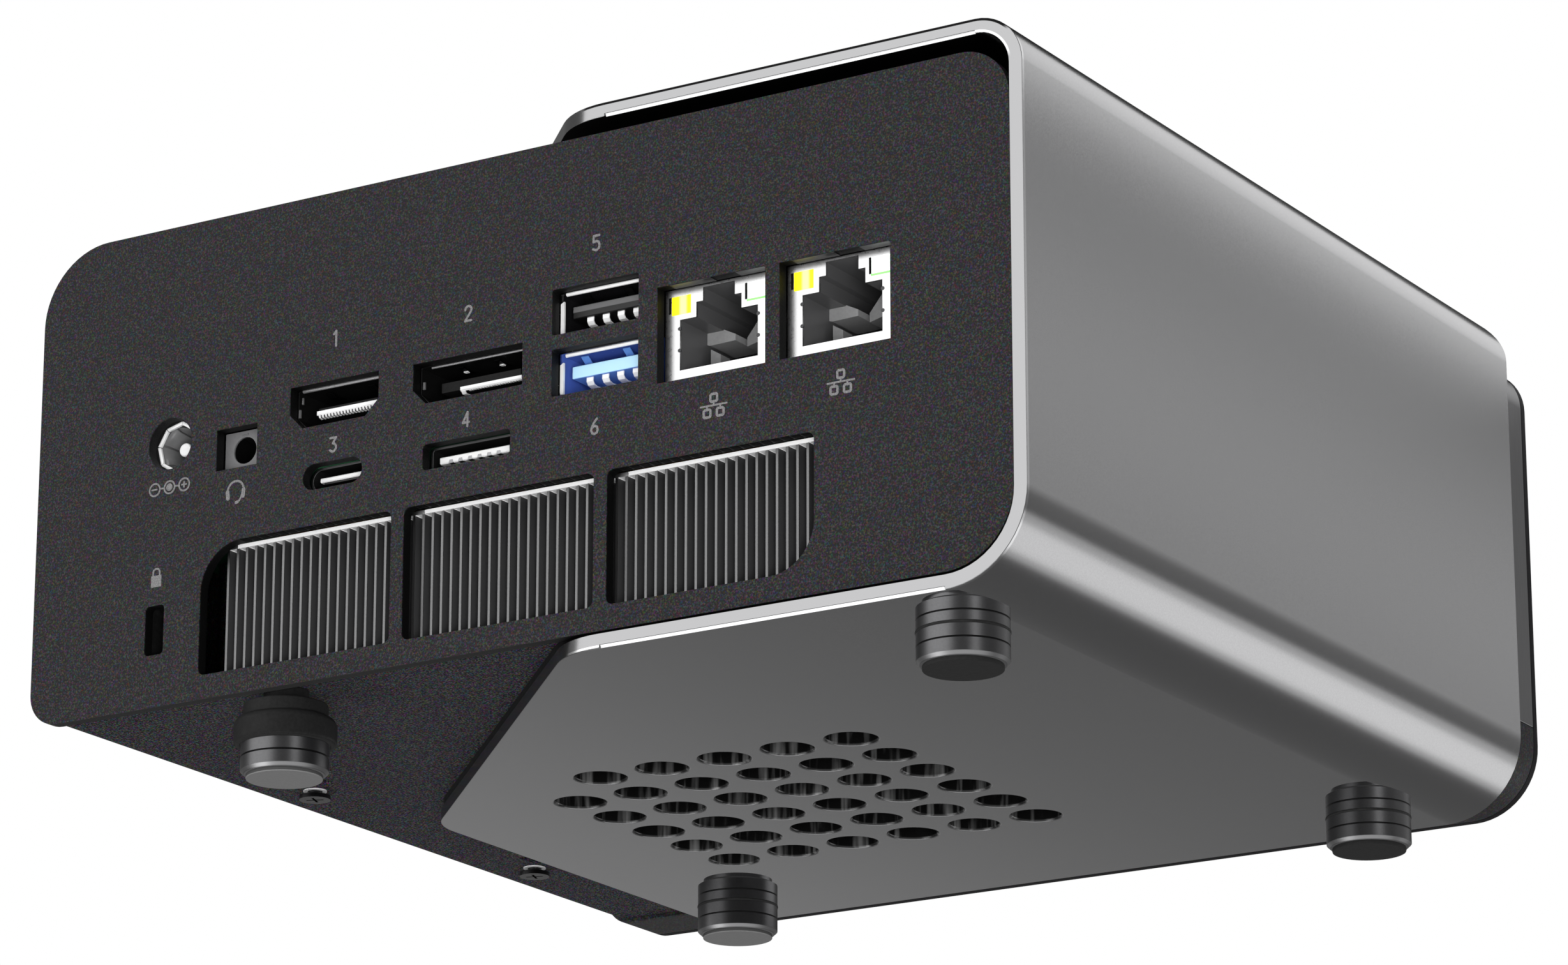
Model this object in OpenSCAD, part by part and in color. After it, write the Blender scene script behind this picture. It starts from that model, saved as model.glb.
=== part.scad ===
// Mini pc: a plastic case held in a C-shaped metal side shell, on four metal feet.
// Millimetres, +Z up, the desk at z = 0, the connector panel faces +Y, the front faces -Y.
// Inside the modules y is measured from the outer face of the rear panel; in_frame() moves
// each piece so that the middle of the whole footprint is the origin.

/* [Overall] */
// Width over the metal side shell and the opposite edge of the panels
width = 154; // [152:0.5:164]
// Depth from the rear panel face to the front bezel face
depth = 150.6; // [148:0.2:160]
// Height of the metal side shell
shell_h = 73.2; // [71:0.2:80]
// Height of the feet, which lift the shell off the desk
foot_h = 8.75; // [8:0.25:12]

/* [Side shell] */
// Thickness of the metal sheet
shell_t = 1.9; // [1.5:0.1:2.2]
// Outer radius of the bend at the bottom
shell_bend_low = 11.7; // [10:0.1:13]
// Outer radius of the bend at the top
shell_bend_high = 6.7; // [6:0.1:9]
// How far the shell stands proud of the rear panel
rim_proud = 0.8; // [0.4:0.1:1.2]
// Distance from the front face back to the front edge of the shell
front_setback = 10.7; // [10:0.1:14]
// Distance from the free side of the case in to the free edge of the plates
plate_in = 20.8; // [18:0.1:24]
// Where the diagonal edge of the plates would meet the rear panel face, along X
diagonal_x = -9.1; // [-14:0.1:-6]
// Radius between the rear edge and the diagonal
diagonal_r = 12; // [6:0.5:14]
// Radius between the diagonal and the free edge
free_edge_r = 10; // [6:0.5:12]
// Radius of the upper front corner, seen from the side
front_corner_r = 6; // [4:0.5:8]
// Width of the bevels under the two plates, along the rim
rim_bevel = 0.4; // [0.2:0.1:0.8]

/* [Intake holes] */
// Diameter of one intake hole
vent_d = 7; // [5:0.1:8]
// Distance between neighbouring intake holes
vent_pitch = 10; // [9.5:0.1:11]
// Holes along each side of the pattern
vent_count = 6; // [4:1:6]
// Width of the bevel round each hole
vent_bevel = 0.3; // [0.1:0.1:0.4]

/* [Case] */
// Thickness of the case walls
wall = 2; // [1.6:0.1:2.4]
// Step from the panel edges in to the case skin
lip = 0.8; // [0.6:0.1:1]
// Gap between the case and the upright side of the shell
side_gap = 0.4; // [0.3:0.1:0.6]
// Gap between the case and the upper plate of the shell
top_gap = 1.85; // [1.2:0.05:2.2]
// Thickness of the spacer between the case and the lower plate
spacer_t = 1.35; // [1.2:0.05:1.8]
// Radius of the panels' lower corner beside the shell
panel_r1 = 10; // [8:0.5:10.5]
// Radius of the panels' lower corner on the free side
panel_r2 = 4.5; // [3:0.5:6]
// Radius of the panels' upper corner on the free side
panel_r3 = 10.7; // [8:0.1:12]
// Radius of the panels' upper corner beside the shell
panel_r4 = 7; // [5:0.5:7.5]
// Height of the seam between the lower case and the top cover
seam_h = 54; // [50:0.5:56]

/* [Rear panel] */
// Thickness of the rear panel
panel_t = 1.65; // [1.4:0.05:2]
// Depth of the connector fronts behind the panel face
recess = 1.9; // [1.9:0.05:2.3]
// Width of the exhaust window next to the lock slot
window_1_w = 30.8; // [28:0.1:32]
// Width of the middle exhaust window
window_2_w = 29.55; // [26:0.05:30]
// Width of the exhaust window next to the shell
window_3_w = 30.8; // [28:0.1:32]
// Width of the bars between the windows
window_bar = 2; // [1.8:0.1:3]
// Right end of the window row, along X
window_right = 48.9; // [47:0.1:50]
// Height of the exhaust windows
window_h = 17.8; // [14:0.1:18.6]
// Radius of the large window corners
window_r = 6.5; // [4:0.5:7.5]

/* [Cooling] */
// Distance between neighbouring fins
fin_pitch = 1.5; // [1.3:0.05:2]
// Thickness of one fin
fin_t = 0.35; // [0.25:0.05:0.5]
// Depth of the fin stack, front to back
fin_d = 19; // [15:0.5:22]
// Radius of the impeller
impeller_r = 34; // [30:0.5:35]
// Number of impeller blades
blade_count = 29; // [21:2:37]
// Running gap round the impeller
running_gap = 0.8; // [0.5:0.1:1.2]

/* [Board] */
// Height of the underside of the main board above the case floor
board_h = 28.85; // [27.8:0.05:32]
// Thickness of the main board
board_t = 1.6; // [1.2:0.1:2]

/* [Feet] */
// Largest radius of a foot
foot_r = 5.83; // [5:0.01:6.2]
// Radius of a foot pad
pad_r = 5.07; // [4:0.01:5.2]
// Thickness of a foot pad
pad_t = 0.6; // [0.4:0.1:1]
// Distance of the rear feet from the rear panel face
foot_rear = 5; // [5:0.1:9]
// Distance of the front feet from the front face
foot_front = 34.6; // [30:0.1:40]
// Distance of the feet below the shell from the shell's outer side
foot_shell_side = 12.5; // [12:0.1:16]
// Distance of the other feet from the free side of the case
foot_free_side = 39; // [36:0.1:44]
// Radius of the plastic collar round the foot that stands on the bare case
collar_r = 6.8; // [6.6:0.05:7.2]

/* [Front] */
// Thickness of the front bezel
bezel_t = 1.2; // [1:0.1:2]
// Radius of the power button
button_r = 6.3; // [5:0.1:8]
// Travel of the power button
button_travel = 0.8; // [0.4:0.1:1]

/* [Hidden] */
$fn = 48;

half_w = width / 2;
collar_over = collar_r - foot_rear;
rear_y = (depth - max(collar_over, rim_proud, foot_r - foot_rear)) / 2;
slit = 0.1;
through = 1;

// Levels of the shell
plate_z = foot_h + shell_t;
shell_top = foot_h + shell_h;
shell_front = front_setback - depth;

// Levels and edges of the panels and of the case skin
floor_z = plate_z + spacer_t;
panel_z0 = floor_z - lip;
panel_z1 = shell_top - shell_t - top_gap;
panel_x0 = -half_w + shell_t + side_gap;
case_x0 = panel_x0 + lip;
case_x1 = half_w - lip;
case_z1 = panel_z1 - lip;
seam_z = floor_z + seam_h;
bezel_y = bezel_t - depth;
panel_radii = [panel_r1, panel_r2, panel_r3, panel_r4];
case_radii = [panel_r1 - lip, panel_r2 - 2 * lip, panel_r3 - lip, panel_r4 - lip];
inner_radii = [for (r = case_radii) max(r - wall, 0.5)];

// Intake pattern and blower axis
blower_x = 6.5;
blower_y = -79.75;
intake_half = (vent_count - 1) * vent_pitch / 2;

// Board levels
board_z = floor_z + board_h;
board_top = board_z + board_t;
board_edge = 1;
board_front = bezel_y + 3;
board_rear = -2.4;

// Memory modules
memory_x = -36;
memory_y = -96;
memory_w = 69.6;
memory_l = 30;
memory_t = 1.2;
memory_h = 1.8;
memory_step = 4.6;
memory_shift = 6;
memory_grip = 4;
memory_socket_d = 5.6;
memory_socket_h = 3.6;
memory_chip = [13, 9, 0.9];
memory_chip_x = 4;
memory_chip_pitch = 16.5;
chip_sink = 0.1;

// Drive module, radio card and clock cell
card_margin = 3;
card_chip_t = 1.4;
drive_place = [38, -122];
drive_size = [22, 80, 1];
drive_h = 3;
drive_socket = [20, 8, 4.5];
radio_place = [-64, -120];
radio_size = [22, 28, 0.9];
radio_h = 2.2;
radio_socket = [22, 6, 3.6];
cell_place = [-54, -66];
cell_r = 10;
cell_t = 3.2;
cell_step = 1.2;
cell_lid_t = 0.3;

// Exhaust windows and fin stack
window_z = floor_z + wall + 0.5;
window_x1 = window_right - window_1_w;
window_x2 = window_x1 - window_bar - window_2_w;
window_x3 = window_x2 - window_bar - window_3_w;
fin_top = window_z + window_h;
fin_y = -panel_t - 0.45;
fin_x0 = window_x3 - 1;
fin_x1 = window_right - 1.6;
fin_count = floor((fin_x1 - fin_x0 - fin_t) / fin_pitch);
strip_t = 0.5;

// Heat path between the board and the fins
processor_t = 1.2;
cold_plate_t = 3;
plate_low = board_z - processor_t - cold_plate_t;
pipe_r = (plate_low - fin_top - 0.2) / 2;
pipe_z = fin_top + 0.1 + pipe_r;
housing_z0 = floor_z + wall + slit;
housing_z1 = fin_top - slit;
housing_t = 1.2;
housing_y = fin_y - fin_d - slit;

// Connector openings in the rear panel: [x0, z0, x1, z1]
video_box = [20.55, board_top + 3.5, 34.9, board_top + 9.4];
display_box = [-2.2, board_top + 3.55, 15.05, board_top + 9.25];
type_c_box = [22.95, board_z - 3.7, 32.55, board_z - 0.15];
expansion_box = [-0.45, board_z - 3.95, 13.3, board_z - 0.45];
type_a_high_box = [-20.05, board_top + 9.35, -6.75, board_top + 15.55];
type_a_low_box = [-20.05, board_top + 1.05, -6.75, board_top + 7.4];
network_boxes = [for (x = [-39.1, -57.4]) [x, board_top + 0.05, x + 16.2, board_top + 12.95]];
headset_box = [40.2, board_top - 0.15, 46.9, board_top + 5.55];
lock_box = [54.85, floor_z + 6.4, 57.95, floor_z + 13.2];
dc_x = 54.7;
dc_z = board_top + 5.05;
dc_hole_r = 3.6;
dc_bore_r = 3.15;
dc_pin_r = 0.95;
plug_r = 1.85;
sheet_t = 0.3;
corner_cut = 2.1;
video_d = 11;
display_d = 12;

// Front openings and button
front_ports_x = -46;
front_a_w = 13.2;
front_a_h = 5.8;
front_a_step = 19;
front_c_w = 9.2;
front_c_h = 3.4;
front_c_x = 6;
front_plug_x = 24;
button_x = 54;
button_z = board_top + 19;
button_gap = 0.3;
flange_t = 1;
switch_h = 1.6;

// Screws in the bare strip of the floor
screw_x = half_w - 10.45;
screw_ys = [-50.3, -105];
screw_head_r = 2.2;
screw_head_t = 0.6;
screw_head_z = plate_z;
screw_shank_r = 0.95;
washer_r = 1.67;
washer_t = 0.15;
screw_slot = [3.4, 4.2, 1.2];
boss_r = 3;
boss_bore_r = 1.4;
boss_xs = [case_x0 + wall + 6, case_x1 - wall - 6];
boss_ys = [-34, board_front + 14];

foot_xs = [-half_w + foot_shell_side, half_w - foot_free_side];
foot_ys = [-foot_rear, foot_front - depth];
foot_places = [for (x = foot_xs, y = foot_ys) [x, y]];
bare_foot = [half_w - foot_free_side, -foot_rear];

function unit(v) = v / norm(v);

// Moves a piece from the rear panel's datum to the middle of the footprint
module in_frame() translate([0, rear_y, 0]) children();

// Extrudes an outline drawn in X and Z from y0 to y1
module along_y(y0, y1) {
    translate([0, y1, 0])
        rotate([90, 0, 0])
            linear_extrude(y1 - y0) children();
}

// The material outside a fillet of radius r at the corner p between the points a and b
module corner_waste(p, a, b, r) {
    u = unit(a - p);
    v = unit(b - p);
    half = acos(u * v) / 2;
    mid = unit(u + v);
    difference() {
        polygon([p + u * r / tan(half), p - mid * r, p + v * r / tan(half)]);
        translate(p + mid * r / sin(half)) circle(r);
    }
}

// A convex outline with one radius per corner
module rounded(points, radii) {
    n = len(points);
    difference() {
        polygon(points);
        for (i = [0 : n - 1])
            if (radii[i] > 0)
                corner_waste(points[i], points[(i + n - 1) % n], points[(i + 1) % n], radii[i]);
    }
}

// A rectangle with four radii: low left, low right, high right, high left
module rounded_box(x0, z0, x1, z1, radii)
    rounded([[x0, z0], [x1, z0], [x1, z1], [x0, z1]], radii);

module equal_box(b, r, grow = 0)
    rounded_box(b[0] - grow, b[1] - grow, b[2] + grow, b[3] + grow, [r, r, r, r]);

// The shared outline of the rear panel, front frame and bezel
module panel_outline(inset = 0)
    rounded_box(panel_x0 + inset, panel_z0 + inset, half_w - inset, panel_z1 - inset,
        [for (r = panel_radii) max(r - inset, 0.5)]);

module case_outline() rounded_box(case_x0, floor_z, case_x1, case_z1, case_radii);

module case_inside()
    rounded_box(case_x0 + wall, floor_z + wall, case_x1 - wall, case_z1 - wall, inner_radii);

// Plan of the shell's plates, with the diagonal edge that bares the case floor
module plate_outline(inset, x_start, y_rear) {
    x_free = half_w - plate_in - inset;
    sum = diagonal_x - inset * sqrt(2);
    rounded([
        [x_start, y_rear], [x_start, shell_front + inset], [x_free, shell_front + inset],
        [x_free, sum - x_free], [sum - y_rear, y_rear]
    ], [0, 0, 0, free_edge_r, diagonal_r]);
}

module vent_places() {
    for (i = [0 : vent_count - 1], j = [0 : vent_count - 1])
        if (i < vent_count - 1 || j > 0)
            translate([blower_x - intake_half + i * vent_pitch, blower_y + intake_half - j * vent_pitch, 0])
                children();
}

// C-shaped metal shell: lower plate with the intake holes, upright side and upper plate
module side_shell() {
    free_x = half_w;
    color("dimgray") in_frame() difference() {
        intersection() {
            along_y(shell_front, rim_proud) difference() {
                rounded_box(-half_w, foot_h, free_x, shell_top, [shell_bend_low, 0, 0, shell_bend_high]);
                rounded_box(-half_w + shell_t, plate_z, free_x + through, shell_top - shell_t,
                    [shell_bend_low - shell_t, 0, 0, shell_bend_high - shell_t]);
            }
            linear_extrude(shell_top + through) plate_outline(0, -half_w - through, rim_proud);
        }
        vent_places() translate([0, 0, foot_h - through]) cylinder(h = shell_t + 2 * through, d = vent_d);
        vent_places() translate([0, 0, foot_h - slit])
            cylinder(h = vent_bevel + slit, r1 = vent_d / 2 + vent_bevel + slit, r2 = vent_d / 2);
        front_corner();
        rim_bevels();
    }
}

// Rounds the upper front corner of the shell in side view
module front_corner() {
    r = front_corner_r;
    translate([-half_w - through, 0, 0]) rotate([90, 0, 90]) linear_extrude(width + 2 * through)
        difference() {
            translate([shell_front - through, shell_top - r]) square([r + through, r + through]);
            translate([shell_front + r, shell_top - r]) circle(r);
        }
}

// A wedge along X that bevels the rear edge of a plate from below
module edge_bevel(x, z, length) {
    b = rim_bevel;
    translate([x, rim_proud, z]) rotate([45, 0, 0])
        translate([0, -b, -b * sqrt(2) / 2]) cube([length, 2 * b, b * sqrt(2)]);
}

// Bevels of the rear rim, under the lower plate and inside under the upper one
module rim_bevels() {
    low_x = -half_w + shell_bend_low;
    high_x = -half_w + shell_bend_high;
    run_end = diagonal_x - diagonal_r / 2;
    edge_bevel(low_x, foot_h, run_end - low_x);
    edge_bevel(high_x, shell_top - shell_t, run_end - high_x);
}

// Black spacer that carries the case on the lower plate, open over the intake holes
module base_spacer() {
    opening = intake_half + 5;
    color("black") in_frame() difference() {
        translate([0, 0, plate_z]) linear_extrude(spacer_t) difference() {
            plate_outline(0.3, -half_w + shell_bend_low + 0.2, -panel_t - 0.3);
            translate([blower_x, blower_y])
                equal_box([-opening, -opening, opening, opening], 8);
        }
    }
}

// Lower case: floor with the blower intake, both side walls and the board bosses
module case_tray() {
    color([0.22, 0.21, 0.22]) in_frame() difference() {
        union() {
            intersection() {
                along_y(shell_front, -panel_t) difference() {
                    case_outline();
                    case_inside();
                }
                translate([-width, -2 * depth, 0]) cube([2 * width, 4 * depth, seam_z]);
            }
            for (x = boss_xs, y = boss_ys)
                translate([x, y, floor_z + wall / 2]) cylinder(h = board_h - wall / 2, r = boss_r);
            for (y = screw_ys)
                translate([screw_x, y, floor_z + wall / 2]) cylinder(h = wall + 2, r = 2.4);
        }
        translate([blower_x, blower_y, floor_z - through]) cylinder(h = wall + 2 * through, r = impeller_r - 4);
        for (x = boss_xs, y = boss_ys)
            translate([x, y, board_z - 8]) cylinder(h = 8 + through, r = boss_bore_r);
        for (y = screw_ys) {
            translate([screw_x, y, floor_z - through]) cylinder(h = wall + through + 1, r = screw_shank_r + slit);
            translate([screw_x - 3.2 - screw_slot[0] / 2, y + 4.2 - screw_slot[1] / 2, floor_z - through])
                cube([screw_slot[0], screw_slot[1], screw_slot[2] + through]);
        }
    }
}

// Top cover of the case, carried on the tray's side walls
module top_cover() {
    color([0.22, 0.21, 0.22]) in_frame() intersection() {
        along_y(shell_front, -panel_t) difference() {
            case_outline();
            case_inside();
        }
        translate([-width, -2 * depth, seam_z]) cube([2 * width, 4 * depth, shell_h]);
    }
}

// One exhaust window: low left, low right, high right and high left radii
module window(x0, w, radii) rounded_box(x0, window_z, x0 + w, window_z + window_h, radii);

// A shell-style opening with the two lower corners cut
module cut_box(b, left, right, grow = 0) {
    polygon([
        [b[0] - grow, b[3] + grow], [b[2] + grow, b[3] + grow],
        [b[2] + grow, b[1] + right - grow / 2], [b[2] - right + grow / 2, b[1] - grow],
        [b[0] + left - grow / 2, b[1] - grow], [b[0] - grow, b[1] + left - grow / 2]
    ]);
}

module rear_openings() {
    translate([dc_x, dc_z]) circle(dc_hole_r);
    equal_box(headset_box, 0);
    cut_box(video_box, corner_cut, corner_cut);
    cut_box(display_box, slit, corner_cut);
    equal_box(type_c_box, (type_c_box[3] - type_c_box[1]) / 2 - 0.01);
    equal_box(expansion_box, 0.6);
    equal_box(type_a_high_box, 0.3);
    equal_box(type_a_low_box, 0.3);
    for (b = network_boxes) equal_box(b, 0);
    equal_box(lock_box, 0.6);
}

// Rear panel with the connector openings and three exhaust windows
module rear_panel() {
    small = 1;
    color([0.2, 0.19, 0.2]) in_frame() along_y(-panel_t, 0) difference() {
        panel_outline();
        rear_openings();
        window(window_x1, window_1_w, [small, small, window_r, small]);
        window(window_x2, window_2_w, [small, small, small, small]);
        window(window_x3, window_3_w, [window_r, small, small, small]);
    }
}

// Front frame: the ring between the case and the bezel
module front_frame() {
    color([0.2, 0.19, 0.2]) in_frame() along_y(bezel_y, shell_front) difference() {
        panel_outline();
        panel_outline(3);
        trim_outline();
    }
}

module trim_outline() {
    trim_low = panel_z0 + 12.5;
    trim_high = panel_z1 - 2.6;
    intersection() {
        difference() {
            panel_outline(-through);
            panel_outline(lip);
        }
        translate([panel_x0 - 2 * through, trim_low]) square([9, trim_high - trim_low]);
    }
}

// Smooth grey strip let into the frame on the shell's side
module side_trim() {
    color("gray") in_frame() along_y(bezel_y, shell_front) intersection() {
        panel_outline();
        trim_outline();
    }
}

// Front bezel with a fine line round its edge and the front openings
module front_bezel() {
    color([0.15, 0.15, 0.16]) in_frame() difference() {
        along_y(-depth, bezel_y) difference() {
            panel_outline();
            translate([button_x, button_z]) circle(button_r + button_gap);
            front_openings();
        }
        along_y(-depth - through, -depth + 0.3) difference() {
            panel_outline(1.4);
            panel_outline(1.8);
        }
    }
}

function front_a_box(i) = [
    front_ports_x + i * front_a_step - front_a_w / 2, board_top + 0.4,
    front_ports_x + i * front_a_step + front_a_w / 2, board_top + 0.4 + front_a_h
];
front_c_box = [front_c_x - front_c_w / 2, board_top + 0.4, front_c_x + front_c_w / 2, board_top + 0.4 + front_c_h];

module front_openings() {
    for (i = [0, 1]) equal_box(front_a_box(i), 0.3, slit);
    equal_box(front_c_box, front_c_h / 2 - 0.01, slit);
    translate([front_plug_x, board_top + 2.9]) circle(2.7);
}

// One turned foot: pad bevel, three fine grooves and a neck
module foot_body(r) {
    groove = 0.12;
    half = 0.1;
    rotate_extrude() polygon(concat(
        [[0, pad_t], [r - 0.5, pad_t], [r, pad_t + 0.46]],
        [for (k = [2.8, 4.6, 6.2]) each [[r, k - half], [r - groove, k], [r, k + half]]],
        [[r, foot_h - 0.9], [r - 0.8, foot_h - 0.5], [r - 0.8, foot_h], [0, foot_h]]
    ));
}

// Four metal feet; the two below the bend are relieved to clear it
module feet() {
    color("darkslategray") in_frame() for (p = foot_places) translate([p[0], p[1], 0]) difference() {
        foot_body(foot_r);
        if (p[0] < 0)
            translate([-foot_r * 0.355, 0, foot_h]) rotate([0, -17.5, 0])
                translate([-2 * foot_r, -foot_r - 1, 0]) cube([2 * foot_r, 2 * foot_r + 2, foot_r]);
    }
}

module foot_pads() {
    color("dimgray") in_frame() for (p = foot_places)
        translate([p[0], p[1], 0]) cylinder(h = pad_t, r = pad_r);
}

// Collar that carries the foot outside the lower plate, straight under the case floor
module foot_collar() {
    low = foot_h / 2 + 0.1;
    step = foot_h - 0.55;
    neck = floor_z - 2;
    bore_r = foot_r + slit;
    top_r = foot_r - 0.8 + slit;
    color([0.1, 0.1, 0.1]) in_frame() translate([bare_foot[0], bare_foot[1], 0]) rotate_extrude()
        polygon([
            [bore_r, low], [collar_r - 0.3, low], [collar_r, low + 0.3], [collar_r, step - 1],
            [collar_r - 0.35, step - 0.3], [collar_r - 1.2, step], [collar_r - 1.2, neck],
            [3, neck], [3, floor_z], [0, floor_z], [0, foot_h], [top_r, foot_h],
            [top_r, foot_h - 0.48], [bore_r, foot_h - 0.88]
        ]);
}

// Cross-head screws in the floor's bare strip, each with a thin washer
module base_screws() {
    color("gray") in_frame() for (y = screw_ys) translate([screw_x, y, screw_head_z]) difference() {
        union() {
            cylinder(h = screw_head_t, r = screw_head_r);
            cylinder(h = floor_z + wall + 0.8 - screw_head_z, r = screw_shank_r);
        }
        for (a = [0, 90]) rotate([0, 0, a + 20])
            translate([-1.25, -0.18, -through]) cube([2.5, 0.36, through + 0.35]);
    }
}

module screw_washers() {
    color("silver") in_frame() for (y = screw_ys) translate([screw_x, y, floor_z - washer_t]) difference() {
        cylinder(h = washer_t, r = washer_r);
        translate([0, 0, -through]) cylinder(h = washer_t + 2 * through, r = screw_shank_r + slit);
    }
}

// Main board: a plain rectangle with four screw holes over the tray's bosses
module main_board() {
    color("darkgreen") in_frame() difference() {
        translate([case_x0 + wall + board_edge, board_front, board_z])
            cube([case_x1 - case_x0 - 2 * wall - 2 * board_edge, board_rear - board_front, board_t]);
        for (x = boss_xs, y = boss_ys)
            translate([x, y, board_z - through]) cylinder(h = board_t + 2 * through, r = boss_bore_r);
    }
}

module board_screws() {
    color("silver") in_frame() for (x = boss_xs, y = boss_ys) translate([x, y, board_top]) difference() {
        union() {
            cylinder(h = 1.6, r = 2.6);
            translate([0, 0, -6]) cylinder(h = 6, r = boss_bore_r - slit);
        }
        for (a = [0, 90]) rotate([0, 0, a])
            translate([-1.4, -0.25, 0.8]) cube([2.8, 0.5, 2]);
    }
}

module processor() {
    color("dimgray") in_frame()
        translate([blower_x - 20, blower_y - 7, board_z - processor_t]) cube([40, 34, processor_t]);
}

// Copper plate pressed on the processor
module cold_plate() {
    color("peru") in_frame()
        translate([blower_x - 28, blower_y - 14, plate_low]) cube([56, 48, cold_plate_t]);
}

// Three heat pipes from the cold plate to the fins, the outer two bent along the stack
module heat_pipes() {
    bend = 9;
    start = blower_y - 8;
    run = fin_y - fin_d / 2;
    color("peru") in_frame() translate([blower_x, 0, pipe_z]) {
        translate([0, start, 0]) rotate([-90, 0, 0]) cylinder(h = fin_y - 2 - start, r = pipe_r);
        for (side = [0, 1]) mirror([side, 0, 0]) {
            translate([12, start, 0]) rotate([-90, 0, 0]) cylinder(h = run - bend - start, r = pipe_r);
            translate([12 + bend, run - bend, 0]) rotate([0, 0, 90]) rotate_extrude(angle = 90)
                translate([bend, 0]) circle(pipe_r);
            translate([12 + bend, run, 0]) rotate([0, 90, 0]) cylinder(h = 16, r = pipe_r);
        }
    }
}

// Stack of thin fins between a lower and an upper strip
module fin_stack() {
    fins_w = fin_count * fin_pitch + fin_t;
    color("silver") in_frame() translate([fin_x0, fin_y - fin_d, window_z - slit]) {
        for (i = [0 : fin_count])
            translate([i * fin_pitch, 0, 0]) cube([fin_t, fin_d, window_h + slit]);
        cube([fins_w, fin_d, strip_t]);
        translate([0, 0, window_h + slit - strip_t]) cube([fins_w, fin_d, strip_t]);
    }
}

// Plan of the blower housing, from the round blower chamber out to the fins
module housing_plan(inset) {
    r = impeller_r + running_gap + 2 + housing_t - inset;
    x0 = fin_x0 + 1 + inset;
    x1 = fin_x1 - 1 - inset;
    translate([blower_x, blower_y]) circle(r);
    polygon([[x0, housing_y + inset * 2], [blower_x - r, blower_y], [blower_x + r, blower_y], [x1, housing_y + inset * 2]]);
}

module blower_housing() {
    h = housing_z1 - housing_z0;
    color([0.12, 0.12, 0.13]) in_frame() difference() {
        translate([0, 0, housing_z0]) linear_extrude(h) housing_plan(0);
        translate([0, 0, housing_z0 + housing_t]) linear_extrude(h - 2 * housing_t) housing_plan(housing_t);
        translate([blower_x, blower_y, housing_z0 - through]) cylinder(h = housing_t + 2 * through, r = impeller_r - 6);
    }
}

// Motor base and fixed shaft under the housing roof
module blower_motor() {
    color("silver") in_frame() translate([blower_x, blower_y, 0]) {
        translate([0, 0, housing_z1 - housing_t - 5]) cylinder(h = 5, r = 9);
        translate([0, 0, housing_z0 + 3]) cylinder(h = housing_z1 - housing_z0 - 5, r = 1);
    }
}

// Impeller: hub cup, curved blades and a rim, turning on the motor shaft
module blower_impeller() {
    low = housing_z0 + housing_t + running_gap;
    high = housing_z1 - housing_t - running_gap;
    hub_r = 12.5;
    tip = impeller_r - 0.5;
    sweep = 24;
    color([0.25, 0.25, 0.27]) in_frame() translate([blower_x, blower_y, 0]) {
        difference() {
            translate([0, 0, low]) cylinder(h = high - low, r = hub_r);
            translate([0, 0, high - 7]) cylinder(h = 7 + through, r = 10);
            translate([0, 0, low - through]) cylinder(h = high - low + 2 * through, r = 1.3);
        }
        translate([0, 0, low + 4]) linear_extrude(high - low - 5) intersection() {
            difference() {
                circle(tip);
                circle(hub_r - 0.2);
            }
            for (i = [0 : blade_count - 1]) rotate(i * 360 / blade_count)
                difference() {
                    translate([tip / 2, -sweep * 0.62]) circle(sweep);
                    translate([tip / 2, -sweep * 0.62]) circle(sweep - 0.7);
                    translate([-2 * tip, -2 * tip]) square([4 * tip, 2 * tip]);
                    translate([-2 * tip, 0]) square([2 * tip, 2 * tip]);
                }
        }
        translate([0, 0, high - 1.5]) difference() {
            cylinder(h = 1.5, r = impeller_r);
            translate([0, 0, -through]) cylinder(h = 1.5 + 2 * through, r = impeller_r - 1.6);
        }
    }
}

// Two memory sockets, the second behind the first and a step higher
module memory_sockets() {
    color([0.1, 0.1, 0.1]) in_frame() for (k = [0, 1])
        translate([memory_x - memory_grip / 2, memory_y + memory_l - memory_grip + k * memory_shift, board_top])
            cube([memory_w + memory_grip, memory_socket_d, memory_socket_h + k * memory_step]);
}

// Memory modules lying in their sockets, each with four chips on top
module memory_modules() {
    color("seagreen") in_frame() for (k = [0, 1])
        translate([memory_x, memory_y + k * memory_shift, board_top + memory_h + k * memory_step]) {
            cube([memory_w, memory_l - memory_grip, memory_t]);
            for (j = [0 : 3])
                translate([memory_chip_x + j * memory_chip_pitch, 5, memory_t - chip_sink]) cube(memory_chip);
        }
}

// A card that lies over the board: its laminate on a post, the socket at its rear edge and
// one block of chips
module board_card(place, size, h, socket, socket_x, over, post_r, post_y, post_sink, chips) {
    translate([place[0], place[1], board_top]) {
        translate([0, 0, h]) cube(size);
        translate([socket_x, size[1] - over, 0]) cube(socket);
        translate([card_margin, chips[0], h + size[2] - chip_sink])
            cube([size[0] - 2 * card_margin, chips[1], card_chip_t]);
        translate([size[0] / 2, post_y, 0]) cylinder(h = h + post_sink, r = post_r);
    }
}

// Drive module lying on its socket and post
module drive_module() {
    color("seagreen") in_frame()
        board_card(drive_place, drive_size, drive_h, drive_socket, 1, 2, 2.6, 3, 0.2, [8, 60]);
}

// Radio card lying on its socket and post
module radio_card() {
    color("seagreen") in_frame()
        board_card(radio_place, radio_size, radio_h, radio_socket, 0, 1, 2.4, 2.8, 0.1, [6, 14]);
}

// Flat cell that keeps the clock running, with its narrower lid on top
module coin_cell() {
    color("silver") in_frame() translate([cell_place[0], cell_place[1], board_top]) {
        cylinder(h = cell_t, r = cell_r);
        cylinder(h = cell_t + cell_lid_t, r = cell_r - cell_step);
    }
}

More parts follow.
